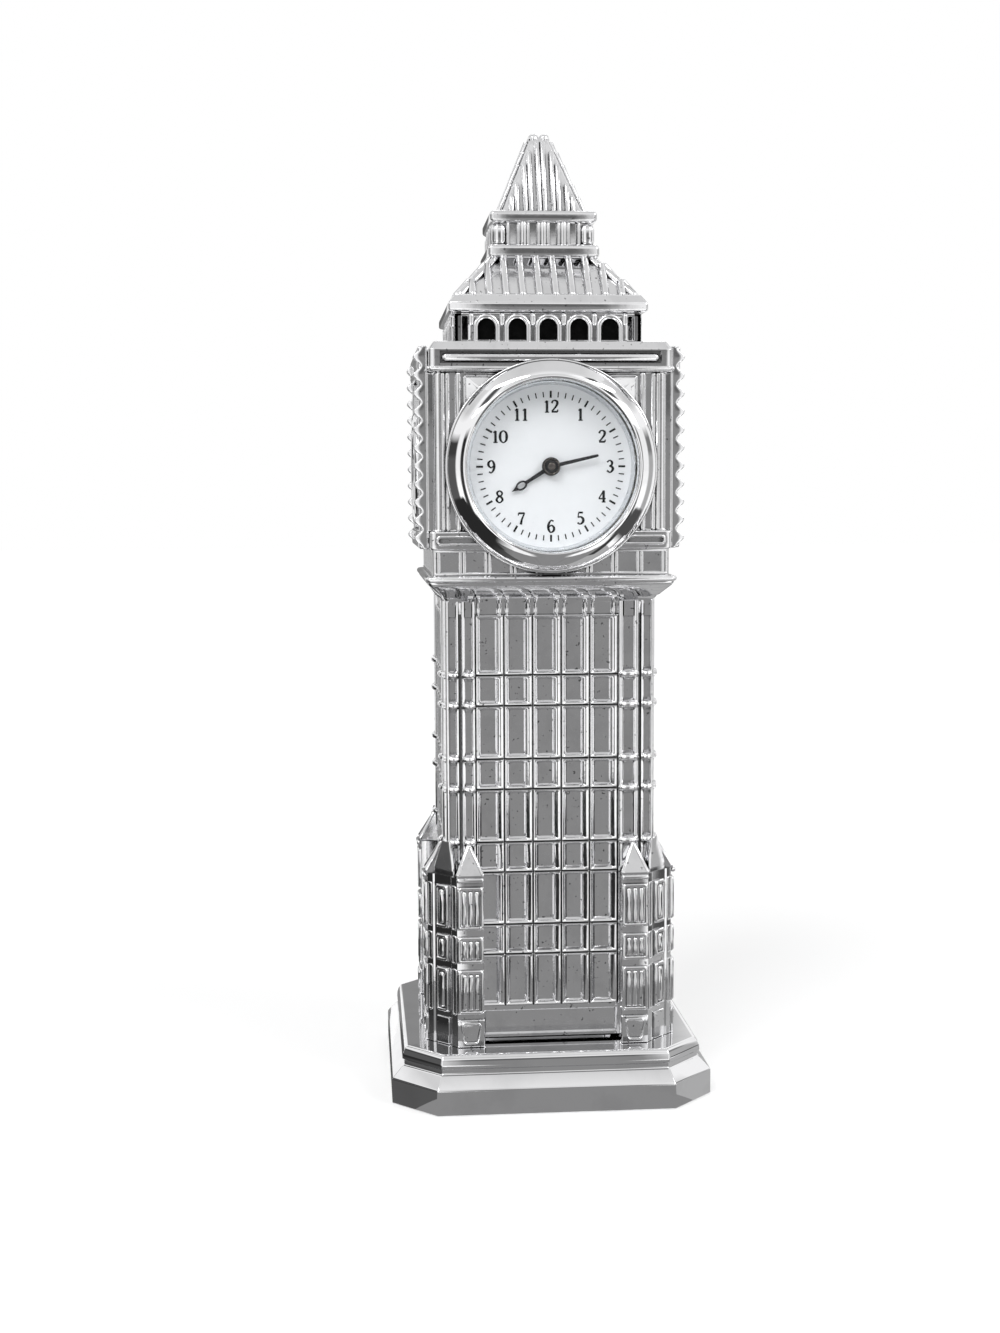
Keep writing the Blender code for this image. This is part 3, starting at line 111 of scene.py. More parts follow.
# Clock stage
STAGE_LOW = 65.25
COVE_FOOT = 13.5
COVE_HEAD = 14.6
CORNICE_LOW = 67.7
CORNICE_EDGE = 69.25
CORNICE_HALF = 16.2
FRIEZE_LOW = 70.35
FRIEZE_TOP = 73.75
FRIEZE_HALF = 15.3
FRIEZE_BAYS = 9
STAGE_HALF = 15.85
FIELD_LOW = 76.15
FIELD_TOP = 96.65
FIELD_HALF = 15.15
STAGE_TOP = 100.65
DIAL_Z = 84.5
BORE_RADIUS = 12.32
BORE_BACK = 9.0
BOSS_RADIUS = 13.85
BOSS_FRONT = 16.25
SLOT_LOW = 97.7
SLOT_TOP = 99.4
SLOT_HALF = 14.35
SLOT_DEEP = 0.7
SLOT_ROLL_Z = 98.5
LOWER_SLOT_LOW = 74.5
LOWER_SLOT_TOP = 75.35
LOWER_SLOT_ENDS = (9.3, 14.75)
SLOT_WALL = 0.1
SPANDREL_X = 11.2
# Upright rolls of the field: distance from the middle, radius
FIELD_ROLLS = ((14.05, 0.31), (13.45, 0.31), (12.05, 0.42))

# Belfry, roofs, lantern and spire
BELFRY_HALF = 12.3
BELFRY_WALL = 1.0
CORE_HALF = 10.2
BELFRY_LOW = 100.7
BELFRY_TOP = 104.45
ARCHES = 5
ARCH_PITCH = 4.05
ARCH_RADIUS = 1.24
ARCH_SILL = 101.0
ARCH_SPRING = 102.6
EAVES_LOW = 104.5
EAVES_HALF = 13.1
ROOF_FOOT = 106.9
ROOF_TOP = 112.2
ROOF_FOOT_HALF = 11.8
ROOF_TOP_HALF = 6.9
ROOF_RIBS = 10
ROOF_RIB_PITCH = 2.18
RIB_PROUD = 0.1
LANTERN_LOW = 112.25
LANTERN_TOP = 116.85
LANTERN_HALF = 6.9
LANTERN_RIM = 7.45
LANTERN_RECESSES = (-4.05, -1.35, 1.35, 4.05)
LANTERN_PILLARS = (-2.7, 0.0, 2.7)
SPIRE_LOW = 116.9
SPIRE_RIM = 7.16
SPIRE_RIB_PITCH = 1.88
SPIRE_FOOT = 118.5
SPIRE_FOOT_HALF = 5.65
SPIRE_TOP = 128.3
SPIRE_TOP_HALF = 1.65
CREST_TOP = 129.65
CREST_ROLL = 0.76
CREST_PLACE = 0.73

# Clock insert
BEZEL_RADIUS = 13.5
BEZEL_OPENING = 11.05
BEZEL_BACK = 16.3
CRYSTAL_RADIUS = 11.6
CRYSTAL_BACK = 16.3
CRYSTAL_FRONT = 17.1
CRYSTAL_RISE = 0.1
DIAL_FRONT = 14.94
DIAL_BACK = 14.59
DIAL_RADIUS = 11.25
DIAL_HOLE = 1.0
TURNED_STEPS = 128


def level(low, high, share):
    return low + (high - low) * share


def arc(start, end, steps):
    return [level(start, end, i / steps) for i in range(steps + 1)]


def turns(steps):
    """Angles once around."""
    return [math.tau * i / steps for i in range(steps)]


def flat(outline, z):
    """A plan's outline at one height."""
    return [(x, y, z) for x, y in outline]


def upright(outline, w):
    """An outline drawn on a face, at its distance from the axis."""
    return [(x, -w, z) for x, z in outline]


def between(first, second, share):
    """An outline part of the way from one to another."""
    return [(level(x, u, share), level(y, v, share)) for (x, y), (u, v) in zip(first, second)]


def about_dial(radius, w, steps):
    """A circle about the dial's axis."""
    return [(radius * math.cos(t), -w, DIAL_Z + radius * math.sin(t)) for t in turns(steps)]


def on_clock(along, aside, w, turn):
    """A point along and beside a line from the dial's middle, turned clockwise from twelve."""
    x = along * math.sin(turn) + aside * math.cos(turn)
    z = along * math.cos(turn) - aside * math.sin(turn)
    return (x, -w, DIAL_Z + z)


class Shape:
    """Closed shells gathered into one mesh, in millimetres."""

    def __init__(self):
        self.verts = []
        self.faces = []

    def skin(self, rings, closed=False):
        """Quads between rings of equal length; the ends are capped unless the last ring meets the first."""
        start = len(self.verts)
        count = len(rings[0])
        for ring in rings:
            self.verts.extend(ring)
        links = len(rings) if closed else len(rings) - 1
        for r in range(links):
            here = start + r * count
            there = start + ((r + 1) % len(rings)) * count
            for i in range(count):
                j = (i + 1) % count
                self.faces.append((here + i, here + j, there + j, there + i))
        if not closed:
            self.faces.append(tuple(range(start, start + count))[::-1])
            last = start + (len(rings) - 1) * count
            self.faces.append(tuple(range(last, last + count)))

    def join(self, other, move=lambda p: p):
        start = len(self.verts)
        self.verts.extend(move(p) for p in other.verts)
        self.faces.extend(tuple(start + i for i in face) for face in other.faces)

    def four_sides(self, other):
        for side in range(SIDES):
            self.join(other, lambda p, s=side: turned_side(p, s))


def turned_side(point, side):
    x, y, z = point
    for _ in range(side):
        x, y = -y, x
    return (x, y, z)


def square_on(face):
    return max(abs(face.normal.x), abs(face.normal.y)) > SQUARE_ON


def mesh_of(name, shape, merge_flats=False):
    """A clean mesh in metres whose faces look outward."""
    mesh = bpy.data.meshes.new(name)
    grown = bmesh.new()
    corners = [grown.verts.new(Vector(p) * MM) for p in shape.verts]
    for face in shape.faces:
        grown.faces.new([corners[i] for i in face])
    bmesh.ops.remove_doubles(grown, verts=grown.verts, dist=WELD * MM)
    bmesh.ops.dissolve_degenerate(grown, edges=grown.edges, dist=WELD * MM)
    bmesh.ops.recalc_face_normals(grown, faces=grown.faces)
    if merge_flats:
        grown.normal_update()
        inner = [e for e in grown.edges if all(square_on(f) for f in e.link_faces)]
        bmesh.ops.dissolve_limit(grown, angle_limit=FLAT_ANGLE, verts=[], edges=inner)
    grown.to_mesh(mesh)
    grown.free()
    return mesh


def make(name, shape, material, body, node, sharp=38.0, merge_flats=False):
    """Turn a shape into a piece that rides on a body and may stand for a node."""
    mesh = mesh_of(name, shape, merge_flats)
    mesh.shade_smooth()
    mesh.set_sharp_from_angle(angle=math.radians(sharp))
    mesh.materials.append(material)
    piece = bpy.data.objects.new(name, mesh)
    bpy.context.scene.collection.objects.link(piece)
    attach(piece, body)
    if node:
        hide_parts(node)
    return piece


def cast(name, shape, node, sharp=40.0, merge_flats=False):
    """A plated casting of the tower."""
    return make(name, shape, chrome, "tower", node, sharp, merge_flats)


def corner_arc(start, here, end, steps):
    return [tuple(start.lerp(here, t).lerp(here.lerp(end, t), t)) for t in arc(0.0, 1.0, steps)]


def rounded_polygon(points, radius, steps=3):
    """A convex outline whose corners are arcs."""
    outline = []
    for before, corner, after in zip(points[-1:] + points, points, points[1:] + points[:1]):
        here = Vector(corner)
        back = (Vector(before) - here).normalized()
        ahead = (Vector(after) - here).normalized()
        half = math.acos(max(-1.0, min(1.0, back.dot(ahead)))) / 2
        reach = radius / math.tan(half)
        outline += corner_arc(here + back * reach, here, here + ahead * reach, steps)
    return outline


def rounded_line(points, radius, steps=ARC_STEPS):
    """An open profile whose inner corners are rounded, each within half of its shorter leg."""
    line = [tuple(points[0])]
    for before, here, after in zip(points, points[1:], points[2:]):
        p, a, b = Vector(here), Vector(before), Vector(after)
        reach = min(radius, (a - p).length * 0.48, (b - p).length * 0.48)
        line += corner_arc(p + (a - p).normalized() * reach, p, p + (b - p).normalized() * reach, steps)
    return line + [tuple(points[-1])]


def rectangle(x0, x1, y0, y1):
    return [(x0, y0), (x1, y0), (x1, y1), (x0, y1)]


def octagon(half, cut):
    near = half - cut
    return [(near, -half), (half, -near), (half, near), (near, half),
            (-near, half), (-half, near), (-half, -near), (-near, -half)]


def round_box(shape, low, high, radius):
    """A block with every edge rounded."""
    rings = []
    for z, rising in ((low[2], True), (high[2], False)):
        for turn in arc(0.0, math.pi / 2, ARC_STEPS):
            short, tall = radius * (1 - math.sin(turn)), radius * (1 - math.cos(turn))
            inset, lift = (short, tall) if rising else (tall, -short)
            plan = rectangle(low[0] + inset, high[0] - inset, low[1] + inset, high[1] - inset)
            rings.append(flat(rounded_polygon(plan, max(radius - inset, radius * 0.12)), z + lift))
    shape.skin(rings)


def plate(shape, half, back, front, low, high, radius):
    """A rounded block in the middle of a face."""
    round_box(shape, (-half, -front, low), (half, -back, high), radius)


def ring_about(middle, first, second, radius, steps):
    return [tuple(middle + (first * math.cos(t) + second * math.sin(t)) * radius) for t in turns(steps)]


def rod(shape, start, end, radius, steps=16):
    """A round bar with domed ends."""
    a, b = Vector(start), Vector(end)
    along = (b - a).normalized()
    across = along.orthogonal().normalized()
    other = along.cross(across)
    bends = arc(0.0, math.pi / 2, ARC_STEPS)
    rings = []
    for base, sign, dome in ((a, -1, bends[::-1]), (b, 1, bends)):
        for bend in dome:
            middle = base + along * sign * radius * math.sin(bend)
            reach = max(radius * math.cos(bend), radius * 0.02)
            rings.append(ring_about(middle, across, other, reach, steps))
    shape.skin(rings)


def post(shape, x, w, low, high, radius):
    """An upright bar on a face."""
    rod(shape, (x, -w, low), (x, -w, high), radius)


def rail(shape, half, w, z, radius):
    """A level bar in the middle of a face."""
    rod(shape, (-half, -w, z), (half, -w, z), radius)


def loop_rod(shape, path, radius, steps=16):
    """A closed round bar along a path drawn on a face."""
    rings = []
    for before, here, after in zip(path[-1:] + path, path, path[1:] + path[:1]):
        side = (Vector(after) - Vector(before)).normalized().cross(FORWARD)
        rings.append(ring_about(Vector(here), side, FORWARD, radius, steps))
    shape.skin(rings, closed=True)


def bent_rod(shape, path, side, radius, steps=16):
    """An open round bar along a path that lies square to the side direction."""
    across = Vector(side)
    rings = []
    for before, here, after in zip(path[:1] + path, path, path[1:] + path[-1:]):
        other = (Vector(after) - Vector(before)).normalized().cross(across)
        rings.append(ring_about(Vector(here), across, other, radius, steps))
    shape.skin(rings)


def frame_rod(shape, x0, x1, z0, z1, w, radius, corner):
    """A round moulding around a panel of a face."""
    loop_rod(shape, upright(rounded_polygon(rectangle(x0, x1, z0, z1), corner, 4), w), radius)


def turned(shape, profile, steps=TURNED_STEPS):
    """Revolve a closed profile of radius and distance in front about the dial's axis."""
    circles = [about_dial(r, w, steps) for r, w in profile]
    shape.skin([list(ring) for ring in zip(*circles)], closed=True)


def square_loft(shape, profile, corner=0.3, columns=(), depth=None):
    """Skin a square tower over levels of half width and height, with relief on each face.

    The relief, depth(x, z, half), gives the distance of a face's point from the axis.
    """
    rings = []
    for half, z in profile:
        turn = min(corner, half * 0.3)
        limit = half - turn
        xs = [-limit] + [max(-limit, min(limit, x)) for x in columns] + [limit]
        face = [(x, -(depth(x, z, half) if depth and abs(x) < limit else half)) for x in xs]
        bends = arc(0.0, math.pi / 2, 4)[1:4]
        bend = [(limit + turn * math.sin(t), -limit - turn * math.cos(t)) for t in bends]
        quarter = flat(face + bend, z)
        rings.append([turned_side(p, side) for side in range(SIDES) for p in quarter])
    shape.skin(rings)


def swell(share):
    """A round moulding's height across its width."""
    return math.sqrt(max(0.0, 1.0 - (2.0 * share - 1.0) ** 2))


# Finishes


class Nodes:
    """A node tree, with short ways to add nodes and join them."""

    def __init__(self, owner):
        owner.use_nodes = True
        self.tree = owner.node_tree

    def __getitem__(self, name):
        return self.tree.nodes[name]

    def feed(self, node, inputs):
        """Set inputs, by name or number, to values or to other nodes' outputs."""
        for key, value in inputs.items():
            if isinstance(value, bpy.types.NodeSocket):
                self.tree.links.new(value, node.inputs[key])
            else:
                node.inputs[key].default_value = value

    def add(self, kind, inputs, **settings):
        node = self.tree.nodes.new("ShaderNode" + kind)
        for key, value in settings.items():
            setattr(node, key, value)
        self.feed(node, inputs)
        return node

    def combine(self, operation, first, second):
        return self.add("Math", {0: first, 1: second}, operation=operation).outputs[0]

    def noise(self, scale, detail):
        place = self.add("TexCoord", {}).outputs["Object"]
        return self.add("TexNoise", {"Scale": scale, "Detail": detail, "Vector": place}).outputs["Fac"]

    def ramp(self, source, marks):
        """Map a value through marks of place and colour."""
        blend = self.add("ValToRGB", {"Fac": source})
        elements = blend.color_ramp.elements
        while len(elements) < len(marks):
            elements.new(0.5)
        for element, (place, colour) in zip(elements, marks):
            element.position = place
            element.color = colour
        return blend.outputs

    def span(self, source, low, high, start, end):
        """Map part of a value's range to greys or colours."""
        return self.ramp(source, [(start, (*low, 1.0)), (end, (*high, 1.0))])["Color"]

    def darkened(self, colour, shade):
        inputs = {"Factor": 1.0, "A": colour, "B": shade}
        mix = self.add("Mix", inputs, data_type="RGBA", blend_type="MULTIPLY")
        return mix.outputs["Result"]

    def relief(self, height, strength, depth):
        return self.add("Bump", {"Strength": strength, "Distance": depth, "Height": height}).outputs["Normal"]

    def seen(self):
        """One for the rays that show the background: from the camera, off metal or through glass."""
        path = self.add("LightPath", {}).outputs
        direct = self.combine("MAXIMUM", path["Is Camera Ray"], path["Is Glossy Ray"])
        return self.combine("MAXIMUM", direct, path["Is Transmission Ray"])

    def show(self, shader):
        self.feed(self["Material Output"], {"Surface": shader.outputs["Shader"]})

    def show_mix(self, share, first, second):
        self.show(self.add("MixShader", {"Fac": share, 1: first.outputs[0], 2: second.outputs[0]}))


def new_material(name):
    material = bpy.data.materials.new(name)
    return material, Nodes(material)


def grey(value):
    return (value, value, value)


# Reach in millimetres of the painted shade in crevices
CREVICE_SHADE_REACH = 0.7


def metal(name, colour, stain, rough, scratch, bump, grain=900.0, pits=1.0, crevice_shade=1.0):
    """Plated or machined metal with faint staining, small pits, a fine cast surface and painted shade in its
    crevices, which also stands for duller plating there.
    """
    material, nodes = new_material(name)
    fine = nodes.noise(grain, 6.0)
    tone = nodes.span(nodes.noise(grain * 0.35, 4.0), stain, colour, 0.30, 0.52)
    pit = nodes.span(nodes.noise(grain * 2.2, 2.0), grey(pits), grey(1.0), 0.27, 0.32)
    finish = nodes.darkened(tone, pit)
    # Painted shade: the colour darkens where ambient occlusion finds the surface closed in, in crevices and
    # grooves, also standing for duller plating there
    if crevice_shade < 1.0:
        hollow = nodes.add("AmbientOcclusion", {"Distance": CREVICE_SHADE_REACH * MM}, samples=8, only_local=True)
        finish = nodes.darkened(finish, nodes.span(hollow.outputs["AO"], grey(crevice_shade), grey(1.0), 0.3, 0.68))
    nodes.feed(nodes["Principled BSDF"], {
        "Metallic": 1.0, "Base Color": finish, "Normal": nodes.relief(fine, bump, 0.05 * MM),
        "Roughness": nodes.span(fine, grey(scratch), grey(rough), 0.35, 0.6)})
    return material


def moulded(name, colour, rough, bump, grain=1500.0, sheen=0.0, fleck=0.88, gloss=0.5):
    """Plastic, paint, felt or rubber with its fine grain."""
    material, nodes = new_material(name)
    fine = nodes.noise(grain, 5.0)
    dark = tuple(c * fleck for c in colour)
    nodes.feed(nodes["Principled BSDF"], {
        "Base Color": nodes.span(fine, dark, colour, 0.35, 0.6), "Sheen Weight": sheen,
        "Roughness": nodes.span(fine, grey(rough * 1.15), grey(rough), 0.35, 0.65),
        "Specular IOR Level": gloss, "Normal": nodes.relief(fine, bump, 0.03 * MM)})
    return material


def clear_glass(name):
    """Clear crystal that lets the studio's light through to the dial."""
    material, nodes = new_material(name)
    shader = nodes["Principled BSDF"]
    nodes.feed(shader, {"Base Color": (0.97, 0.99, 1.0, 1.0), "Roughness": 0.0, "IOR": 1.25,
                        "Transmission Weight": 1.0})
    path = nodes.add("LightPath", {}).outputs
    through = nodes.combine("MAXIMUM", path["Is Shadow Ray"], path["Is Diffuse Ray"])
    nodes.show_mix(through, shader, nodes.add("BsdfTransparent", {}))
    return material


# The chrome's colour carries painted shade in its crevices, also standing for duller plating there
chrome = metal("chrome_plate", (0.86, 0.86, 0.87), (0.78, 0.78, 0.79), 0.05, 0.11, 0.11, pits=0.3,
               crevice_shade=0.2)
polished = metal("chrome_polished", (0.88, 0.88, 0.89), (0.80, 0.80, 0.81), 0.02, 0.05, 0.03, 500.0)
ring_steel = metal("bright_ring", (0.72, 0.73, 0.75), (0.62, 0.63, 0.66), 0.2, 0.3, 0.1)
brass = metal("machined_brass", (0.72, 0.55, 0.25), (0.55, 0.40, 0.17), 0.25, 0.4, 0.2)
case_brass = metal("case_brass", (0.72, 0.60, 0.35), (0.66, 0.54, 0.31), 0.22, 0.30, 0.1)
steel = metal("plain_steel", (0.62, 0.62, 0.64), (0.45, 0.45, 0.47), 0.25, 0.42, 0.2)
dark_nickel = metal("dark_nickel", (0.1, 0.088, 0.08), (0.07, 0.06, 0.055), 0.1, 0.2, 0.05)
copper = metal("winding_copper", (0.55, 0.25, 0.10), (0.40, 0.16, 0.06), 0.3, 0.45, 0.4)
felt = moulded("black_felt", (0.03, 0.03, 0.035), 0.95, 0.9, 2600.0, 0.4)
white_plastic = moulded("white_plastic", (0.82, 0.82, 0.79), 0.45, 0.1)
black_plastic = moulded("black_plastic", (0.035, 0.035, 0.037), 0.42, 0.2)
rubber = moulded("grip_rubber", (0.72, 0.72, 0.69), 0.6, 0.2)
board_green = moulded("board_green", (0.05, 0.25, 0.10), 0.4, 0.2)
dial_white = moulded("dial_white", (0.8, 0.808, 0.822), 0.35, 0.02, 900.0, fleck=0.985)
hand_black = moulded("hand_black", (0.006, 0.006, 0.007), 0.35, 0.05, gloss=0.3)
print_black = moulded("print_black", (0.008, 0.008, 0.009), 0.6, 0.05, gloss=0.15)
# Black for the box of painted shade inside the belfry
painted_shade_lining = moulded("painted_shade_lining", (0.006, 0.006, 0.006), 0.7, 0.4, 1200.0, gloss=0.15)
crystal_glass = clear_glass("crystal_glass")


# Tower


def make_base():
    shape = Shape()
    bend = 2 - math.sqrt(2)
    hollow = STEP_INSET + 0.3
    lower = [(PAD_INSET, PAD_POCKET), (PAD_INSET, 0.0), (0.0, 0.0), (0.0, FOOT_TOP), (STEP_INSET, STEP_LOW),
             (hollow, STEP_LOW + 0.2), (hollow, STEP_TOP - 0.15), (STEP_INSET, STEP_TOP)]
    crown = [(level(STEP_INSET, UPPER_INSET, 1 - math.cos(t)), level(STEP_TOP, BASE_TOP, math.sin(t)))
             for t in arc(0.0, math.pi / 2, 6)]
    rings = []
    for inset, z in rounded_line(lower + crown + [(UPPER_INSET + 4.0, BASE_TOP)], 0.22):
        plan = octagon(BASE_HALF - inset, BASE_CHAMFER - bend * inset)
        rings.append(flat(rounded_polygon(plan, 0.35), z))
    shape.skin(rings)
    plate(shape, RISER_HALF, -RISER_HALF, RISER_HALF, STEP_LOW, RISER_TOP, 0.1)
    make("plinth_shell", shape, polished, "tower", "base_plinth", 30.0)


def course_heights():
    heights = []
    for storey in range(STOREYS):
        heights.append(FIRST_COURSE + storey * STOREY)
        heights.append(heights[-1] + TALL_ROW)
    return heights[:-1] + [SHAFT_HEAD]


def bevel(share):
    """A frame moulding's height, from the groove at 0 over its ridge to the panel at 1."""
    if share < RIDGE:
        return swell(share / RIDGE / 2)
    return math.cos((share - RIDGE) / (1 - RIDGE) * math.pi / 2)


def cell_face(x, z):
    """Depth of the framed panels: a moulding inside each cell's border and a flat panel within."""
    heights = course_heights()
    cell = (x - CELL_START) % CELL_PITCH
    share = min(cell / LEFT_ROLL, (CELL_PITCH - cell) / RIGHT_ROLL)
    low = max(h for h in heights if h <= z)
    high = min(h for h in heights if h > z)
    share = min(share, (z - low) / COURSE_ROLL, (high - z) / COURSE_ROLL)
    if share >= 1.0:
        return PANEL_FACE
    floor = GROOVE_FACE if share < RIDGE else PANEL_FACE
    return floor + (ROLL_FACE - floor) * bevel(share)


def strip_face(x, z, inner, outer, face, corner):
    """Depth of a pilaster or post: two rolls with a slot between them, and bumps at the string courses."""
    near = min(abs(z - h) for h in course_heights()[:-1])
    share = (abs(x) - inner) / (outer - inner)
    bulge = 1 - 0.85 * (2 * share - 1) ** 2 - (near / RING_HALF) ** 2
    bump = face - STRIP_ROLL + (STRIP_ROLL + RING_PROUD) * math.sqrt(max(0.0, bulge))
    if share < ROLL_SHARE or (share > 1 - ROLL_SHARE and not corner):
        depth = face - STRIP_ROLL * (1 - swell(min(share, 1 - share) / ROLL_SHARE))
    elif share > 1 - ROLL_SHARE:
        depth = face
    else:
        slotted = near > RING_HALF + STRIP_END and z < STRIP_CLOSE
        depth = face - STRIP_SLOT if slotted else face - STRIP_ROLL * 0.3
    return max(depth, bump)


def shaft_depth(x, z, half):
    """Relief of one face of the shaft."""
    reach = abs(x)
    in_cells = CELL_START < x < CELL_END
    if z < FIRST_COURSE:
        inset = min(PLAIN_HALF - reach, z - PLAIN_LOW, PLAIN_TOP - z) / PLAIN_BEVEL
        return half - (half - PLAIN_FACE) * max(0.0, min(1.0, inset))
    if z > SHAFT_HEAD - 0.01 and in_cells:
        return PANEL_FACE if z < SHAFT_TOP else HIDDEN_FACE
    if reach >= POST_INNER:
        return strip_face(x, z, POST_INNER, half, half, True)
    if reach > PILASTER_OUTER:
        return PANEL_FACE - 0.1
    if in_cells:
        return cell_face(x, z)
    return strip_face(x, z, -CELL_START if x < 0 else CELL_END, PILASTER_OUTER, PILASTER_FACE, False)


def shaft_columns():
    """Places across a face, closer together where the relief bends."""
    xs = []
    for i in range(CELLS):
        start = CELL_START + i * CELL_PITCH
        xs += [start + LEFT_ROLL * s for s in BEVEL_SHARES]
        xs += [start + CELL_PITCH - RIGHT_ROLL * s for s in BEVEL_SHARES]
    for inner, outer in ((-PILASTER_OUTER, CELL_START), (CELL_END, PILASTER_OUTER),
                         (-SHAFT_HALF, -POST_INNER), (POST_INNER, SHAFT_HALF)):
        xs += [level(inner, outer, s) for s in ROLL_SHARES]
        xs += [level(inner, outer, 1 - s) for s in ROLL_SHARES]
    for x in (PILASTER_OUTER + 0.01, POST_INNER - 0.01, PLAIN_HALF, PLAIN_HALF - PLAIN_BEVEL):
        xs += [-x, x]
    return sorted(xs)


def shaft_rows():
    """Heights of the shaft's rings of points, closer together at the string courses."""
    zs = [SHAFT_LOW, PLAIN_LOW, PLAIN_LOW + PLAIN_BEVEL, PLAIN_TOP - PLAIN_BEVEL, PLAIN_TOP,
          STRIP_CLOSE - 0.01, STRIP_CLOSE, SHAFT_TOP - 0.02, SHAFT_TOP, STRIP_HEAD]
    ring_end = RING_HALF + STRIP_END
    reach = [COURSE_ROLL * s for s in BEVEL_SHARES] + [ring_end, ring_end + 0.02, 0.0, RING_HALF * 0.99]
    for h in course_heights():
        zs += [h + r for r in reach] + [h - r for r in reach]
    return sorted(z for z in set(zs) if SHAFT_LOW <= z <= STRIP_HEAD)


def make_shaft():
    shape = Shape()
    square_loft(shape, [(SHAFT_HALF, z) for z in shaft_rows()], 0.35, shaft_columns(), shaft_depth)
    ribs = Shape()
    line = [(PANEL_FACE, SHAFT_HEAD)] + cove_line()
    for i in range(CELLS + 1):
        for offset, radius in ((-0.6, 0.36), (0.4, 0.26)):
            x = CELL_START + i * CELL_PITCH + offset
            bent_rod(ribs, [(x, -w, z) for w, z in line], (1, 0, 0), radius)
    shape.four_sides(ribs)
    cast("shaft_casting", shape, "tower_shaft", 35.0, True)


BUTTRESS_LOW = 7.75
BUTTRESS_EAVES = 30.65
BUTTRESS_APEX = 34.75
BUTTRESS_TIERS = ((12.2, 18.2), (19.1, 22.7), (23.6, 29.4))
BUTTRESS_FOOT = 11.5
PIER_INNER = 9.2
PIER_OUTER = 12.8
PIER_FRONT = -16.7
PIER_BACK = -13.4
CORNER_PLAN = ((9.2, -16.5), (12.75, -16.5), (13.45, -15.8), (13.45, -15.5), (15.5, -13.45), (15.8, -13.45),
               (16.5, -12.75), (16.5, -9.2), (13.3, -9.2), (13.3, -13.3), (9.2, -13.3))
PIER_MIDDLE = 11.0


def on_facet(start, end):
    """Place a panel, drawn flat and facing forward, on one facet of the corner's plan."""
    along = (Vector(end) - Vector(start)).normalized()
    out = Vector((along.y, -along.x))
    middle = (Vector(start) + Vector(end)) / 2

    def place(p):
        spot = middle + along * p[0] - out * p[1]
        return (spot.x, spot.y, p[2])
    return place


def reeded_tier(half, low, high, flutes):
    """A raised panel with a round rim and upright flutes."""
    shape = Shape()
    plate(shape, half, -0.3, 0.22, low, high, 0.12)
    frame_rod(shape, 0.24 - half, half - 0.24, low + 0.24, high - 0.24, 0.22, 0.25, 0.35)
    room = half - 0.5
    radius = room / flutes * 0.9
    for i in range(flutes):
        x = level(-room, room, (i + 0.5) / flutes)
        post(shape, x, 0.08, low + 0.5 + radius, high - 0.5 - radius, radius)
    return shape


def pier(shape):
    """The front pier of a corner: foot, reeded tiers, slotted edge and gabled cap."""
    front = on_facet(*CORNER_PLAN[0:2])
    edge = on_facet(*CORNER_PLAN[1:3])
    for low, high in BUTTRESS_TIERS:
        shape.join(reeded_tier(1.76, low, high, 3), front)
        slot = Shape()
        frame_rod(slot, -0.3, 0.3, low, high, 0.0, 0.14, 0.2)
        shape.join(slot, edge)
    foot = Shape()
    plate(foot, 1.85, -0.3, 0.4, BUTTRESS_LOW, BUTTRESS_FOOT, 0.22)
    brow, chin = BUTTRESS_FOOT - 0.5, BUTTRESS_LOW + 0.6
    shield = rounded_polygon([(-1.35, brow), (-0.8, chin), (0.8, chin), (1.35, brow)], 0.4)
    loop_rod(foot, upright(shield, 0.4), 0.15)
    rail(foot, 1.5, 0.3, BUTTRESS_EAVES - 0.35, 0.34)
    shape.join(foot, front)
    eaves = rectangle(PIER_INNER, PIER_OUTER, PIER_FRONT, PIER_BACK)
    crest = rectangle(PIER_MIDDLE - 0.12, PIER_MIDDLE + 0.12, -14.5, PIER_BACK)
    shape.skin([flat(eaves, BUTTRESS_EAVES - 0.1), flat(eaves, BUTTRESS_EAVES + 0.25),
                flat(crest, BUTTRESS_APEX)])
    for x in (PIER_INNER + 0.15, PIER_OUTER - 0.15):
        foot = (x, PIER_FRONT + 0.15, BUTTRESS_EAVES + 0.3)
        rod(shape, foot, (PIER_MIDDLE, -14.4, BUTTRESS_APEX - 0.1), 0.24)
    rod(shape, (PIER_MIDDLE, -14.5, BUTTRESS_APEX), (PIER_MIDDLE, -14.0, BUTTRESS_APEX), 0.32)


def corner_web(shape):
    """The slanting facet between a corner's two piers, with its own panels and cap."""
    facet = on_facet(*CORNER_PLAN[3:5])
    for low, high in BUTTRESS_TIERS:
        shape.join(reeded_tier(1.1, low, high, 1), facet)
    foot = Shape()
    plate(foot, 1.15, -0.3, 0.25, BUTTRESS_LOW, BUTTRESS_FOOT, 0.2)
    shape.join(foot, facet)
    wide = rounded_polygon([(13.0, -15.75), (15.75, -13.0), (13.6, -12.6), (12.6, -13.6)], 0.3)
    narrow = rounded_polygon([(13.5, -14.6), (14.6, -13.5), (13.9, -12.9), (12.9, -13.9)], 0.3)
    steps = ((0.0, BUTTRESS_EAVES - 0.2), (0.0, BUTTRESS_EAVES + 0.9), (0.12, BUTTRESS_EAVES + 1.4),
             (0.9, BUTTRESS_APEX + 0.05), (1.0, BUTTRESS_APEX + 0.3))
    shape.skin([flat(between(wide, narrow, share), z) for share, z in steps])


def make_buttresses():
    corner = Shape()
    front = Shape()
    pier(front)
    corner.join(front)
    corner.join(front, lambda p: (-p[1], -p[0], p[2]))
    corner_web(corner)
    plan = rounded_polygon(CORNER_PLAN, 0.1)
    corner.skin([flat(plan, z) for z in (BUTTRESS_LOW, BUTTRESS_EAVES)])
    for depth_name, side_y in (("front", 1), ("rear", -1)):
        for width_name, side_x in (("left", -1), ("right", 1)):
            shape = Shape()
            shape.join(corner, lambda p, sx=side_x, sy=side_y: (p[0] * sx, p[1] * sy, p[2]))
            name = depth_name + "_" + width_name
            cast("buttress_casting_" + name, shape, "buttress_" + name, 24.0)


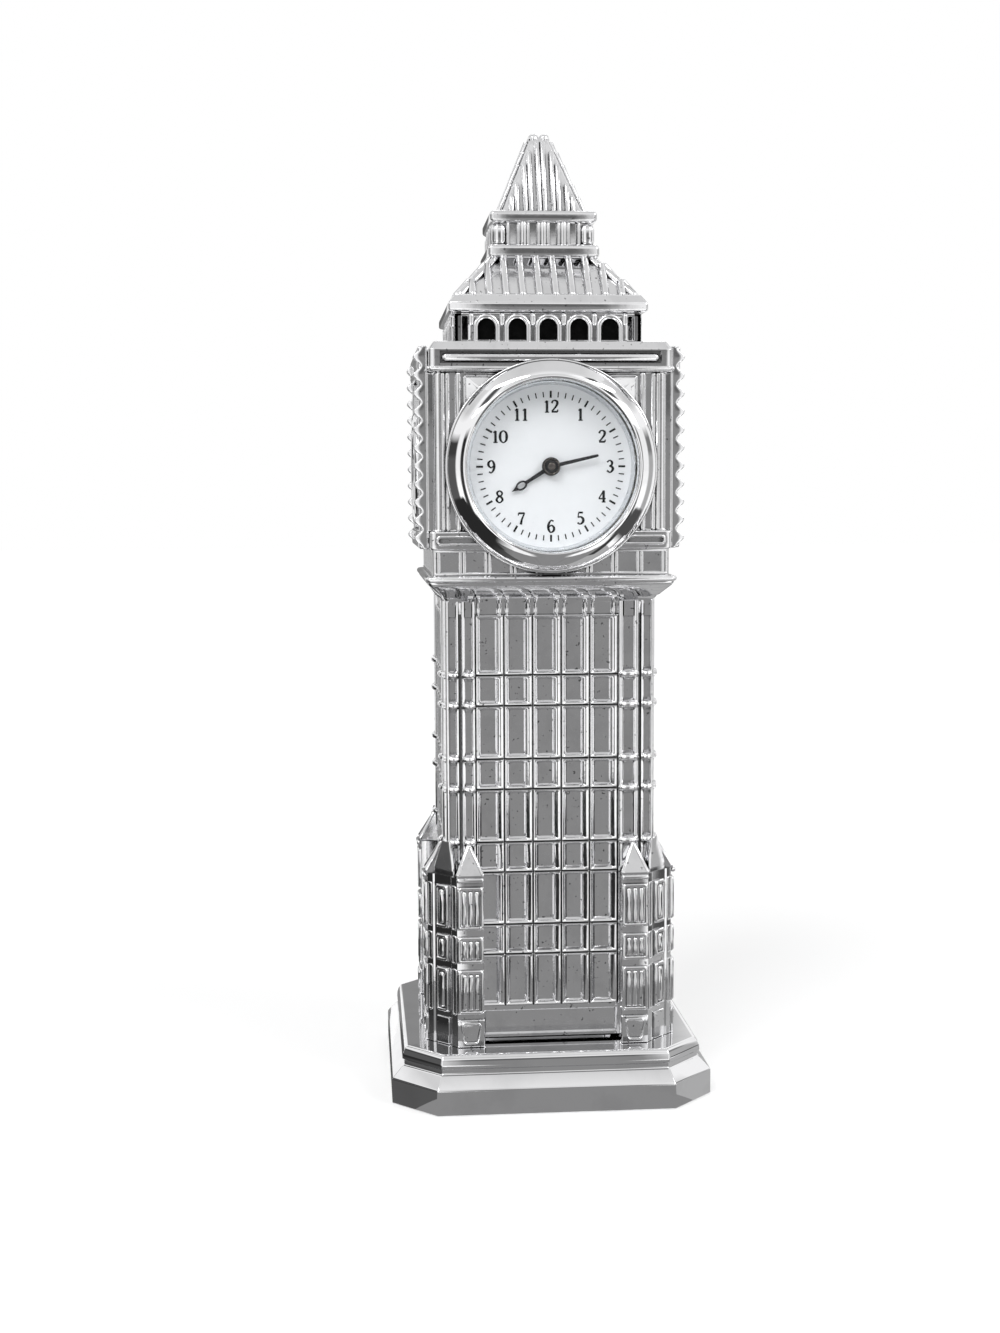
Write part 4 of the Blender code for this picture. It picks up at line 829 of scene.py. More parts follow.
def cove_line():
    """The hollow moulding from the shaft's head out to the cornice."""
    bend = math.radians(80.0)
    return [(level(COVE_FOOT, COVE_HEAD, (1 - math.cos(t)) / (1 - math.cos(bend))),
             level(STAGE_LOW, CORNICE_LOW, math.sin(t) / math.sin(bend))) for t in arc(0.0, bend, 10)]


def slot_edges(low, top):
    """Levels of the stage's face at a slot's two long walls."""
    return [(STAGE_HALF, z) for z in (low, low + SLOT_WALL, top - SLOT_WALL, top)]


def stage_profile():
    cove = cove_line()
    line = [cove[-1], (CORNICE_HALF, CORNICE_EDGE), (CORNICE_HALF, FRIEZE_LOW), (FRIEZE_HALF, FRIEZE_LOW),
            (FRIEZE_HALF, FRIEZE_TOP), (STAGE_HALF, FRIEZE_TOP)]
    line += slot_edges(LOWER_SLOT_LOW, LOWER_SLOT_TOP)
    line += [(STAGE_HALF, FIELD_LOW), (FIELD_HALF, FIELD_LOW), (FIELD_HALF, FIELD_TOP),
             (STAGE_HALF, FIELD_TOP)]
    line += slot_edges(SLOT_LOW, SLOT_TOP)
    line += [(STAGE_HALF, STAGE_TOP - 1.1), (STAGE_HALF - 0.7, STAGE_TOP), (BELFRY_HALF, STAGE_TOP)]
    return cove[:-1] + rounded_line(line, 0.3)


def stage_depth(x, z, half):
    """The long slot sunk in the stage's upper rail, and the two short ones in its lower rail."""
    wall = SLOT_WALL / 2
    upper = abs(x) < SLOT_HALF and SLOT_LOW + wall < z < SLOT_TOP - wall
    near, far = LOWER_SLOT_ENDS
    lower = near < abs(x) < far and LOWER_SLOT_LOW + wall < z < LOWER_SLOT_TOP - wall
    return half - SLOT_DEEP if upper or lower else half


def stage_mouldings():
    """Upright and level bars that all four faces of the stage carry."""
    shape = Shape()
    pitch = (2 * FRIEZE_HALF - 0.6) / FRIEZE_BAYS
    for bay in range(FRIEZE_BAYS + 1):
        for offset in (-0.26, 0.26):
            post(shape, -FRIEZE_HALF + 0.3 + bay * pitch + offset, FRIEZE_HALF, FRIEZE_LOW, FRIEZE_TOP, 0.25)
    for half, w, z, radius in ((FRIEZE_HALF - 0.2, FRIEZE_HALF, FRIEZE_LOW + 0.2, 0.28),
                               (FRIEZE_HALF - 0.2, FRIEZE_HALF, FRIEZE_TOP - 0.15, 0.28),
                               (SLOT_HALF - 0.75, STAGE_HALF - 0.55, SLOT_ROLL_Z, 0.58),
                               (STAGE_HALF - 0.3, STAGE_HALF, FIELD_TOP + 0.45, 0.3),
                               (CORNICE_HALF - 0.3, CORNICE_HALF - 0.1, FRIEZE_LOW - 0.45, 0.4)):
        rail(shape, half, w, z, radius)
    return shape


def spandrel(shape, side, z, reach):
    """A raised triangle in a corner of the field, reaching up or down from z."""
    x = side * SPANDREL_X
    points = [(x, z), (side * (SPANDREL_X - abs(reach)), z), (x, z + reach)]
    outline = rounded_polygon(points, 0.3)
    loop_rod(shape, upright(outline, FIELD_HALF), 0.22)
    middle = [sum(places) / 3 for places in zip(*points)]
    peak = between([middle] * len(outline), outline, 0.15)
    shape.skin([upright(outline, FIELD_HALF - 0.2), upright(outline, FIELD_HALF + 0.02),
                upright(peak, FIELD_HALF + 0.4)])


def make_stage():
    shape = Shape()
    wall = SLOT_WALL / 2
    ends = [end + shift for end in (*LOWER_SLOT_ENDS, SLOT_HALF) for shift in (-wall, wall)]
    square_loft(shape, stage_profile(), 0.5, sorted(ends + [-end for end in ends]), stage_depth)
    shape.four_sides(stage_mouldings())
    for side in (-1, 1):
        for x, radius in FIELD_ROLLS:
            post(shape, side * x, FIELD_HALF, FIELD_LOW + 0.3, FIELD_TOP - 0.3, radius)
        x0, x1 = sorted((side * 9.2, side * 14.9))
        frame_rod(shape, x0, x1, FIELD_LOW - 1.7, FIELD_LOW - 0.75, STAGE_HALF, 0.2, 0.45)
        spandrel(shape, side, FIELD_TOP - 0.5, -5.0)
        spandrel(shape, side, FIELD_LOW + 0.5, 4.0)
    boss = [(BORE_RADIUS, BORE_BACK), (BORE_RADIUS, BOSS_FRONT), (BOSS_RADIUS, BOSS_FRONT),
            (BOSS_RADIUS, BORE_BACK)]
    turned(shape, rounded_line(boss, 0.2))
    cut_bore(cast("stage_casting", shape, "clock_housing"))


def cut_bore(stage):
    """Open the seat of the clock through the stage's front."""
    cutter = Shape()
    cutter.skin([about_dial(BORE_RADIUS - 0.02, w, 96) for w in (BORE_BACK, BOSS_FRONT + 3.0)])
    tool = bpy.data.objects.new("bore_cutter", mesh_of("bore_cutter", cutter))
    bpy.context.scene.collection.objects.link(tool)
    cut = stage.modifiers.new("bore", "BOOLEAN")
    cut.operation = "DIFFERENCE"
    cut.solver = "EXACT"
    cut.use_self = True
    cut.object = tool
    bpy.context.view_layer.update()
    evaluated = stage.evaluated_get(bpy.context.evaluated_depsgraph_get())
    stage.data = bpy.data.meshes.new_from_object(evaluated)
    stage.modifiers.clear()
    cleaned = bmesh.new()
    cleaned.from_mesh(stage.data)
    bmesh.ops.dissolve_degenerate(cleaned, edges=cleaned.edges, dist=0.002 * MM)
    cleaned.to_mesh(stage.data)
    cleaned.free()
    stage.data.shade_smooth()
    stage.data.set_sharp_from_angle(angle=math.radians(30.0))
    bpy.data.objects.remove(tool)


PANEL_BACK = 15.9
PANEL_FRONT = 16.7
PANEL_HALF = 14.2
TEETH = 11
TOOTH_STEPS = 12
TOOTH_WIDE = 1.6
TOOTH_PROUD = 0.95
TOOTH_ROUND = 0.2
# Upright rolls: distance from the panel's edge, radius
PANEL_ROLLS = ((2.1, 0.32), (3.0, 0.38), (4.0, 0.3))
# Blank dial: rings of radius and thickness, disc, ends of its hour marks
BLANK_RINGS = ((7.05, 0.5), (6.1, 0.25))
BLANK_RADIUS = 6.6
BLANK_MARK = (4.3, 5.4)
BLANK_STEPS = 72


def toothed_strip(shape, x0, x1):
    """A strip of rounded teeth up one edge of a dial panel."""
    low, high = FRIEZE_TOP + 0.3, STAGE_TOP - 0.8
    rings = []
    for i in range(TEETH * TOOTH_STEPS + 1):
        rise = 0.5 - 0.5 * math.cos(math.tau * i / TOOTH_STEPS)
        outline = rectangle(x0, x1, -PANEL_FRONT - 0.15 - TOOTH_PROUD * rise, -PANEL_BACK - 0.1)
        z = level(low, high, i / (TEETH * TOOTH_STEPS))
        rings.append(flat(rounded_polygon(outline, TOOTH_ROUND), z))
    shape.skin(rings)


def make_dial_panel(name, side):
    """An applied face of the stage: rails, pilasters, toothed edges and a blank dial."""
    front = Shape()
    plate(front, PANEL_HALF, PANEL_BACK, PANEL_FRONT, FRIEZE_TOP + 0.05, STAGE_TOP - 0.55, 0.15)
    plate(front, PANEL_HALF, FIELD_HALF + 0.05, PANEL_BACK + 0.3, FIELD_LOW + 0.05, FIELD_TOP - 0.05, 0.05)
    border = PANEL_HALF - 0.9
    for low, high in ((FRIEZE_TOP + 0.1, FIELD_LOW), (FIELD_TOP, STAGE_TOP - 0.6)):
        plate(front, PANEL_HALF - 0.05, PANEL_FRONT - 0.4, PANEL_FRONT + 0.5, low, high, 0.3)
        frame_rod(front, -border, border, low + 0.75, high - 0.75, PANEL_FRONT + 0.4, 0.2, 0.4)
    for sign in (-1, 1):
        edge = sign * (PANEL_HALF + 0.02)
        toothed_strip(front, *sorted((edge, edge - sign * TOOTH_WIDE)))
        for offset, radius in PANEL_ROLLS:
            post(front, sign * (PANEL_HALF - offset), PANEL_FRONT, FIELD_LOW + 0.2, FIELD_TOP - 0.2, radius)
    for radius, thick in BLANK_RINGS:
        loop_rod(front, about_dial(radius, PANEL_FRONT + 0.3, BLANK_STEPS), thick)
    for turn in turns(12):
        inner, outer = (on_clock(r, 0.0, PANEL_FRONT + 0.35, turn) for r in BLANK_MARK)
        rod(front, inner, outer, 0.2)
    disc = rectangle(0.02, BLANK_RADIUS, PANEL_FRONT - 0.3, PANEL_FRONT + 0.35)
    turned(front, rounded_line(disc, 0.05), BLANK_STEPS)
    shape = Shape()
    shape.join(front, lambda p: turned_side(p, side))
    cast(name + "_casting", shape, name)


def flat_wall(outer, holes, thickness, edge):
    """A plate with openings, drawn as closed outlines and given softened edges."""
    curve = bpy.data.curves.new("wall", "CURVE")
    curve.dimensions = "2D"
    curve.fill_mode = "BOTH"
    curve.extrude = thickness / 2 - edge
    curve.bevel_depth = edge
    curve.bevel_resolution = 2
    curve.offset = -edge
    for outline in [outer] + holes:
        spline = curve.splines.new("POLY")
        spline.points.add(len(outline) - 1)
        for point, (x, z) in zip(spline.points, outline):
            point.co = (x, z, 0.0, 1.0)
        spline.use_cyclic_u = True
    item = bpy.data.objects.new("wall", curve)
    bpy.context.scene.collection.objects.link(item)
    bpy.context.view_layer.update()
    mesh = bpy.data.meshes.new_from_object(item.evaluated_get(bpy.context.evaluated_depsgraph_get()))
    shape = Shape()
    shape.verts = [(v.co.x, v.co.y, v.co.z) for v in mesh.vertices]
    shape.faces = [tuple(p.vertices) for p in mesh.polygons]
    bpy.data.objects.remove(item)
    bpy.data.meshes.remove(mesh)
    return shape


def arch(middle, radius, low, spring, steps=24):
    outline = [(middle + radius, low)]
    for t in arc(0.0, math.pi, steps):
        outline.append((middle + radius * math.cos(t), spring + radius * math.sin(t)))
    outline.append((middle - radius, low))
    return outline


def make_belfry():
    middles = [(i - (ARCHES - 1) / 2) * ARCH_PITCH for i in range(ARCHES)]
    holes = [arch(m, ARCH_RADIUS, ARCH_SILL, ARCH_SPRING) for m in middles]
    for sign in (-1, 1):
        x0, x1 = sorted((sign * (BELFRY_HALF - 1.8), sign * (BELFRY_HALF - 0.55)))
        holes.append(rounded_polygon(rectangle(x0, x1, ARCH_SILL, BELFRY_TOP - 0.4), 0.1))
    wall = flat_wall(rectangle(-BELFRY_HALF, BELFRY_HALF, BELFRY_LOW, BELFRY_TOP), holes, BELFRY_WALL, 0.07)
    side = Shape()
    side.join(wall, lambda p: (p[0], p[2] - BELFRY_HALF + BELFRY_WALL / 2, p[1]))
    for m in middles:
        outline = arch(m, ARCH_RADIUS + 0.2, ARCH_SILL - 0.25, ARCH_SPRING)
        bent_rod(side, upright(outline, BELFRY_HALF + 0.05), FORWARD, 0.36)
    for gap in range(ARCHES + 1):
        x = (gap - ARCHES / 2) * ARCH_PITCH
        post(side, x, BELFRY_HALF, ARCH_SPRING + 0.6, BELFRY_TOP - 0.35, 0.4)
    shape = Shape()
    shape.four_sides(side)
    cast("arcade_casting", shape, "belfry_arcade")
    # A black box inside the arcade that the real tower lacks: painted shade for its hollow inside, seen
    # through the arches
    core = Shape()
    square_loft(core, [(CORE_HALF, BELFRY_LOW), (CORE_HALF, BELFRY_TOP)], 0.3)
    make("arcade_core", core, painted_shade_lining, "tower", None)


def slope_rib(shape, x, foot, top, radius, margin):
    """A round rib that climbs a slope and stops at the hip."""
    run, rise = foot[0] - top[0], top[1] - foot[1]
    reach = min(1.0, (foot[0] - abs(x) - margin) / run)
    w = foot[0] + RIB_PROUD
    if reach > 0.08:
        rod(shape, (x, -w, foot[1]), (x, run * reach - w, foot[1] + rise * reach), radius)


def make_lower_roof():
    shape = Shape()
    points = [(BELFRY_HALF, EAVES_LOW), (EAVES_HALF, EAVES_LOW + 0.25), (EAVES_HALF, EAVES_LOW + 1.25),
              (EAVES_HALF - 0.75, ROOF_FOOT - 0.15), (EAVES_HALF - 0.8, ROOF_FOOT),
              (ROOF_FOOT_HALF - 0.15, ROOF_FOOT), (ROOF_TOP_HALF - 0.6, ROOF_TOP)]
    square_loft(shape, rounded_line(points, 0.25), 0.35)
    ribs = Shape()
    low, high = ROOF_FOOT_HALF - 0.45, ROOF_TOP_HALF - 0.45
    rod(ribs, (low, -low, ROOF_FOOT), (high, -high, ROOF_TOP), 0.6)
    for i in range(ROOF_RIBS):
        x = (i - (ROOF_RIBS - 1) / 2) * ROOF_RIB_PITCH
        slope_rib(ribs, x, (ROOF_FOOT_HALF, ROOF_FOOT), (ROOF_TOP_HALF, ROOF_TOP), 0.5, 0.3)
    shape.four_sides(ribs)
    cast("lower_roof_casting", shape, "lower_roof")


def make_lantern():
    shape = Shape()
    neck = LANTERN_HALF - 0.75
    lip = LANTERN_RIM - 0.35
    rim = [(lip, LANTERN_LOW), (LANTERN_RIM, LANTERN_LOW + 0.3), (LANTERN_RIM, LANTERN_LOW + 1.45),
           (lip, LANTERN_LOW + 1.8), (neck, LANTERN_LOW + 1.8), (neck, LANTERN_TOP)]
    square_loft(shape, rounded_line(rim, 0.3), 0.5)
    side = Shape()
    low, high = LANTERN_LOW + 1.9, LANTERN_TOP - 0.1
    for recess in LANTERN_RECESSES:
        for edge in (-0.7, 0.7):
            post(side, recess + edge, LANTERN_HALF - 0.3, low, high, 0.24)
    for pillar in LANTERN_PILLARS:
        post(side, pillar, LANTERN_HALF - 0.45, low, high, 0.5)
    round_box(side, (4.95, -LANTERN_HALF, LANTERN_LOW + 1.6), (LANTERN_HALF, -4.95, LANTERN_TOP), 0.8)
    shape.four_sides(side)
    cast("lantern_casting", shape, "lantern")


def make_spire():
    shape = Shape()
    foot, top = (SPIRE_FOOT_HALF, SPIRE_FOOT), (SPIRE_TOP_HALF, SPIRE_TOP)
    lip = SPIRE_RIM - 0.36
    points = [(lip, SPIRE_LOW), (SPIRE_RIM, SPIRE_LOW + 0.3), (SPIRE_RIM, SPIRE_LOW + 1.3), (lip, SPIRE_FOOT),
              (SPIRE_FOOT_HALF - 0.2, SPIRE_FOOT), (SPIRE_TOP_HALF - 0.15, SPIRE_TOP),
              (SPIRE_TOP_HALF - 0.55, CREST_TOP - 0.6)]
    square_loft(shape, rounded_line(points, 0.35), 0.45)
    side = Shape()
    for rib in range(-2, 3):
        for offset in (-0.37, 0.37):
            slope_rib(side, rib * SPIRE_RIB_PITCH + offset, foot, top, 0.36, 0.75)
    shape.four_sides(side)
    crest = CREST_TOP - CREST_ROLL
    for x in (-CREST_PLACE, CREST_PLACE):
        rod(shape, (x, -0.6, crest), (x, 0.6, crest), CREST_ROLL, 24)
    cast("spire_casting", shape, "spire")


# Clock insert


def make_bezel():
    shape = Shape()
    lip, seat = CRYSTAL_FRONT + 0.05, CRYSTAL_RADIUS + 0.05
    profile = [(12.2, BEZEL_BACK), (BEZEL_RADIUS - 0.15, BEZEL_BACK), (BEZEL_RADIUS, BEZEL_BACK + 0.12)]
    profile += corner_arc(Vector((BEZEL_RADIUS, 16.6)), Vector((12.75, 17.7)), Vector((11.5, 18.2)), 20)
    profile += [(11.33, 18.2), (11.2, 18.12), (11.12, 17.98), (11.08, 17.8), (BEZEL_OPENING, 17.5),
                (BEZEL_OPENING, lip), (seat, lip), (seat, BEZEL_BACK), (11.85, BEZEL_BACK),
                (11.85, BEZEL_BACK - 1.0), (12.2, BEZEL_BACK - 1.0)]
    turned(shape, profile)
    make("bezel_turned", shape, polished, "clock_insert", "bezel", 30.0)


def make_crystal():
    shape = Shape()
    profile = [(0.01, CRYSTAL_BACK)] + [(CRYSTAL_RADIUS * s, CRYSTAL_BACK) for s in (0.5, 1.0)]
    for s in arc(1.0, 0.0, 10):
        profile.append((max(CRYSTAL_RADIUS * s, 0.01), CRYSTAL_FRONT - CRYSTAL_RISE * s * s))
    turned(shape, profile)
    make("crystal_lens", shape, crystal_glass, "clock_insert", "crystal", 30.0)


def make_dial():
    shape = Shape()
    turned(shape, rectangle(DIAL_HOLE, DIAL_RADIUS, DIAL_BACK, DIAL_FRONT))
    make("dial_disc", shape, dial_white, "clock_insert", "dial")
    shape = Shape()
    low, high = DIAL_FRONT + 0.05, CRYSTAL_BACK - 0.05
    turned(shape, rounded_line([(10.55, low), (DIAL_RADIUS, low), (DIAL_RADIUS, high), (10.8, high)], 0.1))
    make("dial_ring_turned", shape, ring_steel, "clock_insert", "dial_ring")


# Each numeral is a set of strokes on a grid one unit high: points with the stroke's half width
STROKES = {
    "0": [[(0.3, 1.0, 0.03), (0.08, 0.82, 0.07), (0.02, 0.5, 0.1), (0.08, 0.18, 0.07), (0.3, 0.0, 0.03),
           (0.52, 0.18, 0.07), (0.58, 0.5, 0.1), (0.52, 0.82, 0.07), (0.3, 1.0, 0.03)]],
    "1": [[(0.2, 0.02, 0.085), (0.2, 0.98, 0.085)], [(0.02, 0.82, 0.03), (0.2, 0.97, 0.05)],
           [(0.02, 0.02, 0.03), (0.38, 0.02, 0.03)]],
    "2": [[(0.05, 0.76, 0.07), (0.12, 0.93, 0.05), (0.29, 1.0, 0.04), (0.48, 0.9, 0.08),
           (0.5, 0.7, 0.09), (0.34, 0.42, 0.06), (0.04, 0.08, 0.04)], [(0.03, 0.05, 0.06),
           (0.52, 0.05, 0.06)], [(0.52, 0.05, 0.05), (0.56, 0.24, 0.03)]],
    "3": [[(0.05, 0.85, 0.05), (0.26, 1.0, 0.035), (0.46, 0.85, 0.08), (0.42, 0.62, 0.06),
           (0.22, 0.53, 0.03)], [(0.22, 0.53, 0.03), (0.48, 0.43, 0.08), (0.52, 0.22, 0.09),
           (0.3, 0.0, 0.04), (0.04, 0.15, 0.06)]],
    "4": [[(0.42, 0.0, 0.085), (0.42, 0.98, 0.085)], [(0.42, 0.97, 0.03), (0.02, 0.32, 0.03)],
           [(0.0, 0.3, 0.04), (0.6, 0.3, 0.04)], [(0.26, 0.02, 0.03), (0.58, 0.02, 0.03)]],
    "5": [[(0.12, 0.97, 0.06), (0.5, 0.97, 0.06)], [(0.13, 0.97, 0.03), (0.08, 0.56, 0.03)],
           [(0.08, 0.56, 0.03), (0.3, 0.62, 0.05), (0.5, 0.45, 0.09), (0.5, 0.2, 0.09),
           (0.26, 0.0, 0.04), (0.04, 0.13, 0.06)]],
    "6": [[(0.5, 0.92, 0.05), (0.3, 1.0, 0.04), (0.1, 0.72, 0.08), (0.06, 0.36, 0.09),
           (0.16, 0.08, 0.06), (0.32, 0.0, 0.04), (0.52, 0.15, 0.08), (0.53, 0.4, 0.08),
           (0.34, 0.58, 0.04), (0.1, 0.44, 0.04)]],
    "7": [[(0.04, 0.94, 0.06), (0.56, 0.94, 0.06)], [(0.55, 0.94, 0.04), (0.34, 0.45, 0.06),
           (0.24, 0.0, 0.09)], [(0.04, 0.94, 0.04), (0.03, 0.74, 0.03)]],
    "8": [[(0.29, 1.0, 0.035), (0.09, 0.85, 0.07), (0.14, 0.64, 0.06), (0.42, 0.46, 0.07),
           (0.53, 0.22, 0.07), (0.29, 0.0, 0.035), (0.04, 0.2, 0.08), (0.14, 0.44, 0.06),
           (0.44, 0.62, 0.05), (0.49, 0.84, 0.06), (0.29, 1.0, 0.035)]],
    "9": [[(0.08, 0.08, 0.05), (0.28, 0.0, 0.04), (0.48, 0.28, 0.08), (0.52, 0.64, 0.09),
           (0.42, 0.92, 0.06), (0.26, 1.0, 0.04), (0.06, 0.85, 0.08), (0.05, 0.6, 0.08),
           (0.24, 0.42, 0.04), (0.48, 0.56, 0.04)]],
}
NUMERAL_HEIGHT = 1.55
NUMERAL_RADIUS = 7.75
NUMERAL_ADVANCE = 0.66
NUMERAL_WIDTH = 0.58
NUMERAL_WEIGHT = 0.018
PRINT_THICK = 0.03
# Marks around the dial: inner and outer radius, half width
HOUR_MARK = (8.85, 9.75, 0.13)
MINUTE_MARK = (8.95, 9.65, 0.075)


def curve_through(points, steps=6):
    """A smooth line through points, carrying their widths."""
    if len(points) < 3:
        return [Vector(p) for p in points]
    ends = [points[0]] + list(points) + [points[-1]]
    line = []
    for a, b, c, d in zip(ends, ends[1:], ends[2:], ends[3:]):
        a, b, c, d = Vector(a), Vector(b), Vector(c), Vector(d)
        for k in range(steps):
            t = k / steps
            line.append(0.5 * ((2 * b) + (c - a) * t + (2 * a - 5 * b + 4 * c - d) * t * t
                               + (3 * b - a - 3 * c + d) * t ** 3))
    line.append(Vector(points[-1]))
    return line


def print_stroke(shape, points, origin, scale=1.0, weight=0.0):
    """A printed stroke as a thin closed ribbon on the dial, drawn from an origin."""
    line = curve_through(points)
    rings = []
    for before, here, after in zip(line[:1] + line, line, line[1:] + line[-1:]):
        ahead = (after - before).to_2d().normalized()
        across = Vector((-ahead.y, ahead.x)) * (here.z + weight)
        middle = here.to_2d()
        ring = []
        for spot, depths in ((middle + across, (0.0, PRINT_THICK)), (middle - across, (PRINT_THICK, 0.0))):
            for depth in depths:
                ring.append((origin[0] + spot.x * scale, -DIAL_FRONT - depth, origin[1] + spot.y * scale))
        rings.append(ring)
    shape.skin(rings)


def make_print():
    shape = Shape()
    for hour in range(1, 13):
        turn = math.tau * hour / 12
        text = str(hour)
        width = NUMERAL_WIDTH + NUMERAL_ADVANCE * (len(text) - 1)
        for i, digit in enumerate(text):
            left = i * NUMERAL_ADVANCE - width / 2 + (0.1 if digit == "1" else 0.0)
            origin = (NUMERAL_RADIUS * math.sin(turn) + left * NUMERAL_HEIGHT,
                      DIAL_Z + NUMERAL_RADIUS * math.cos(turn) - NUMERAL_HEIGHT / 2)
            for stroke in STROKES[digit]:
                print_stroke(shape, stroke, origin, NUMERAL_HEIGHT, NUMERAL_WEIGHT)
    for minute, turn in enumerate(turns(60)):
        inner, outer, half = MINUTE_MARK if minute % 5 else HOUR_MARK
        points = [(r * math.sin(turn), r * math.cos(turn), half) for r in (inner, outer)]
        print_stroke(shape, points, (0.0, DIAL_Z))
    make("dial_print", shape, print_black, "clock_insert", None, 60.0)


HOUR_TURN = math.radians(237.7)
MINUTE_TURN = math.radians(77.0)
HOUR_LOW, HOUR_HIGH = 15.17, 15.37
MINUTE_LOW, MINUTE_HIGH = 15.575, 15.775
HUB_STEPS = 48


def blade(shape, outline, low, high, turn):
    """A flat hand blade along an outline of distance and half width."""
    edge = 0.05
    section = ((-1, low + edge), (-1, high - edge), (-0.8, high), (0.8, high), (1, high - edge),
               (1, low + edge), (0.8, low), (-0.8, low))
    shape.skin([[on_clock(r, half * s, w, turn) for s, w in section] for r, half in outline])


def hub(shape, radius, low, high, hole):
    profile = [(hole, low), (radius, low), (radius, high), (radius * 0.82, high - 0.04), (hole, high)]
    turned(shape, rounded_line(profile, 0.05), HUB_STEPS)


def make_hands():
    hour = Shape()
    for outline in ([(0.9, 0.28), (2.6, 0.24), (3.85, 0.22), (4.0, 0.28)],
                    [(5.2, 0.34), (5.5, 0.22), (5.8, 0.1), (6.1, 0.02)]):
        blade(hour, outline, HOUR_LOW, HOUR_HIGH, HOUR_TURN)
    middle = (HOUR_LOW + HOUR_HIGH) / 2
    leaf = [on_clock(4.6 + 0.68 * math.cos(t), 0.47 * math.sin(t), middle, HOUR_TURN) for t in turns(28)]
    loop_rod(hour, leaf, 0.13)
    hub(hour, 1.2, HOUR_LOW - 0.08, HOUR_HIGH + 0.07, 0.9)
    make("hour_hand_leaf", hour, hand_black, "hour_train", "hour_hand")
    minute = Shape()
    outline = [(0.6, 0.25), (2.5, 0.23), (5.9, 0.19), (6.2, 0.16), (6.3, 0.1)]
    blade(minute, outline, MINUTE_LOW, MINUTE_HIGH, MINUTE_TURN)
    hub(minute, 1.15, MINUTE_LOW - 0.075, MINUTE_HIGH + 0.075, 0.45)
    make("minute_hand_stick", minute, hand_black, "minute_train", "minute_hand")
    nut = Shape()
    dome = [(0.02, 16.06), (0.45, 16.06), (0.45, 15.87), (0.53, 15.87), (0.53, 16.0), (0.46, 16.1),
            (0.3, 16.16), (0.02, 16.18)]
    ring = [(0.85, 15.86), (1.07, 15.86), (1.07, 15.9), (0.96, 16.0), (0.85, 15.9)]
    for profile in (dome, ring):
        turned(nut, rounded_line(profile, 0.05), HUB_STEPS)
    make("hand_nut_turned", nut, dark_nickel, "minute_train", "hand_nut")


CARRIED = {
    "base_pad": felt, "base_screw_left": steel, "base_screw_right": steel, "insert_case": case_brass,
    "grip_ring": rubber, "movement_plate": brass, "movement_holder": white_plastic,
    "train_case": black_plastic, "coil": copper, "circuit_board": board_green, "battery": steel,
    "battery_clip": steel, "case_back": steel, "centre_arbor": steel, "hour_wheel": brass,
    "minute_wheel": brass, "set_arbor": steel, "set_knob": black_plastic,
}


def dress_nodes():
    """Give the solids that stay in view their own finishes."""
    for name, material in CARRIED.items():
        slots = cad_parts[name].data.materials
        slots.clear()
        slots.append(material)


# Studio
QUAD = [(0, 1, 2, 3)]
FLOOR_HALF = 2500.0
LAMP_AIM = (0.0, 0.0, 65.0)
RING_STEPS = 96


def stage_mesh(name, verts, faces, material):
    mesh = bpy.data.meshes.new(name)
    mesh.from_pydata([Vector(v) * MM for v in verts], [], faces)
    mesh.materials.append(material)
    item = bpy.data.objects.new(name, mesh)
    bpy.context.scene.collection.objects.link(item)
    return item


def levels_ramp(nodes, source, levels):
    """Map a value to radiance and cover through levels of place, radiance and cover."""
    return nodes.ramp(source, [(at, (*grey(radiance), cover)) for at, radiance, cover in sorted(levels)])


def card(name, verts, faces, across, along, round_tower=False):
    """Reflection cards: seen in the metal, and by nothing else, with edges that fade."""
    material, nodes = new_material(name)
    place = nodes.add("TexCoord", {}).outputs
    parts = nodes.add("SeparateXYZ", {"Vector": place["Generated"]}).outputs
    sources = (parts["X"], parts["Y"])
    if round_tower:
        turn = nodes.add("TexGradient", {"Vector": place["Object"]}, gradient_type="RADIAL")
        sources = (turn.outputs["Fac"], parts["Z"])
    first = levels_ramp(nodes, sources[0], across)
    second = levels_ramp(nodes, sources[1], along)
    glow = nodes.add("Emission", {"Color": first["Color"], "Strength": second["Color"]})
    cover = nodes.combine("MULTIPLY", first["Alpha"], second["Alpha"])
    nodes.show_mix(cover, nodes.add("BsdfTransparent", {}), glow)
    item = stage_mesh(name, verts, faces, material)
    item.visible_camera = False
    item.visible_diffuse = False
    item.visible_shadow = False
    item.visible_transmission = False


def ring_card(name, near, far, low, high, around, upward):
    """A ring of cards about the tower, between two circles."""
    verts = []
    for reach, z in ((near, low), (far, high)):
        verts += [heading(360.0 * i / RING_STEPS, reach, z) for i in range(RING_STEPS)]
    pairs = [(i, (i + 1) % RING_STEPS) for i in range(RING_STEPS)]
    faces = [(i, j, RING_STEPS + j, RING_STEPS + i) for i, j in pairs]
    levels = [((azimuth + 90.0) % 360.0 / 360.0, radiance, cover) for azimuth, radiance, cover in around]
    card(name, verts, faces, levels, upward, True)


def flat_card(name, x0, x1, y0, y1, z, radiance, fade):
    """A level card whose borders fade over a share of its size."""
    across = [(0.0, radiance, 0.0), (fade, radiance, 1.0), (1.0 - fade, radiance, 1.0), (1.0, radiance, 0.0)]
    along = [(place, 1.0, cover) for place, _, cover in across]
    card(name, flat(rectangle(x0, x1, y0, y1), z), QUAD, across, along)


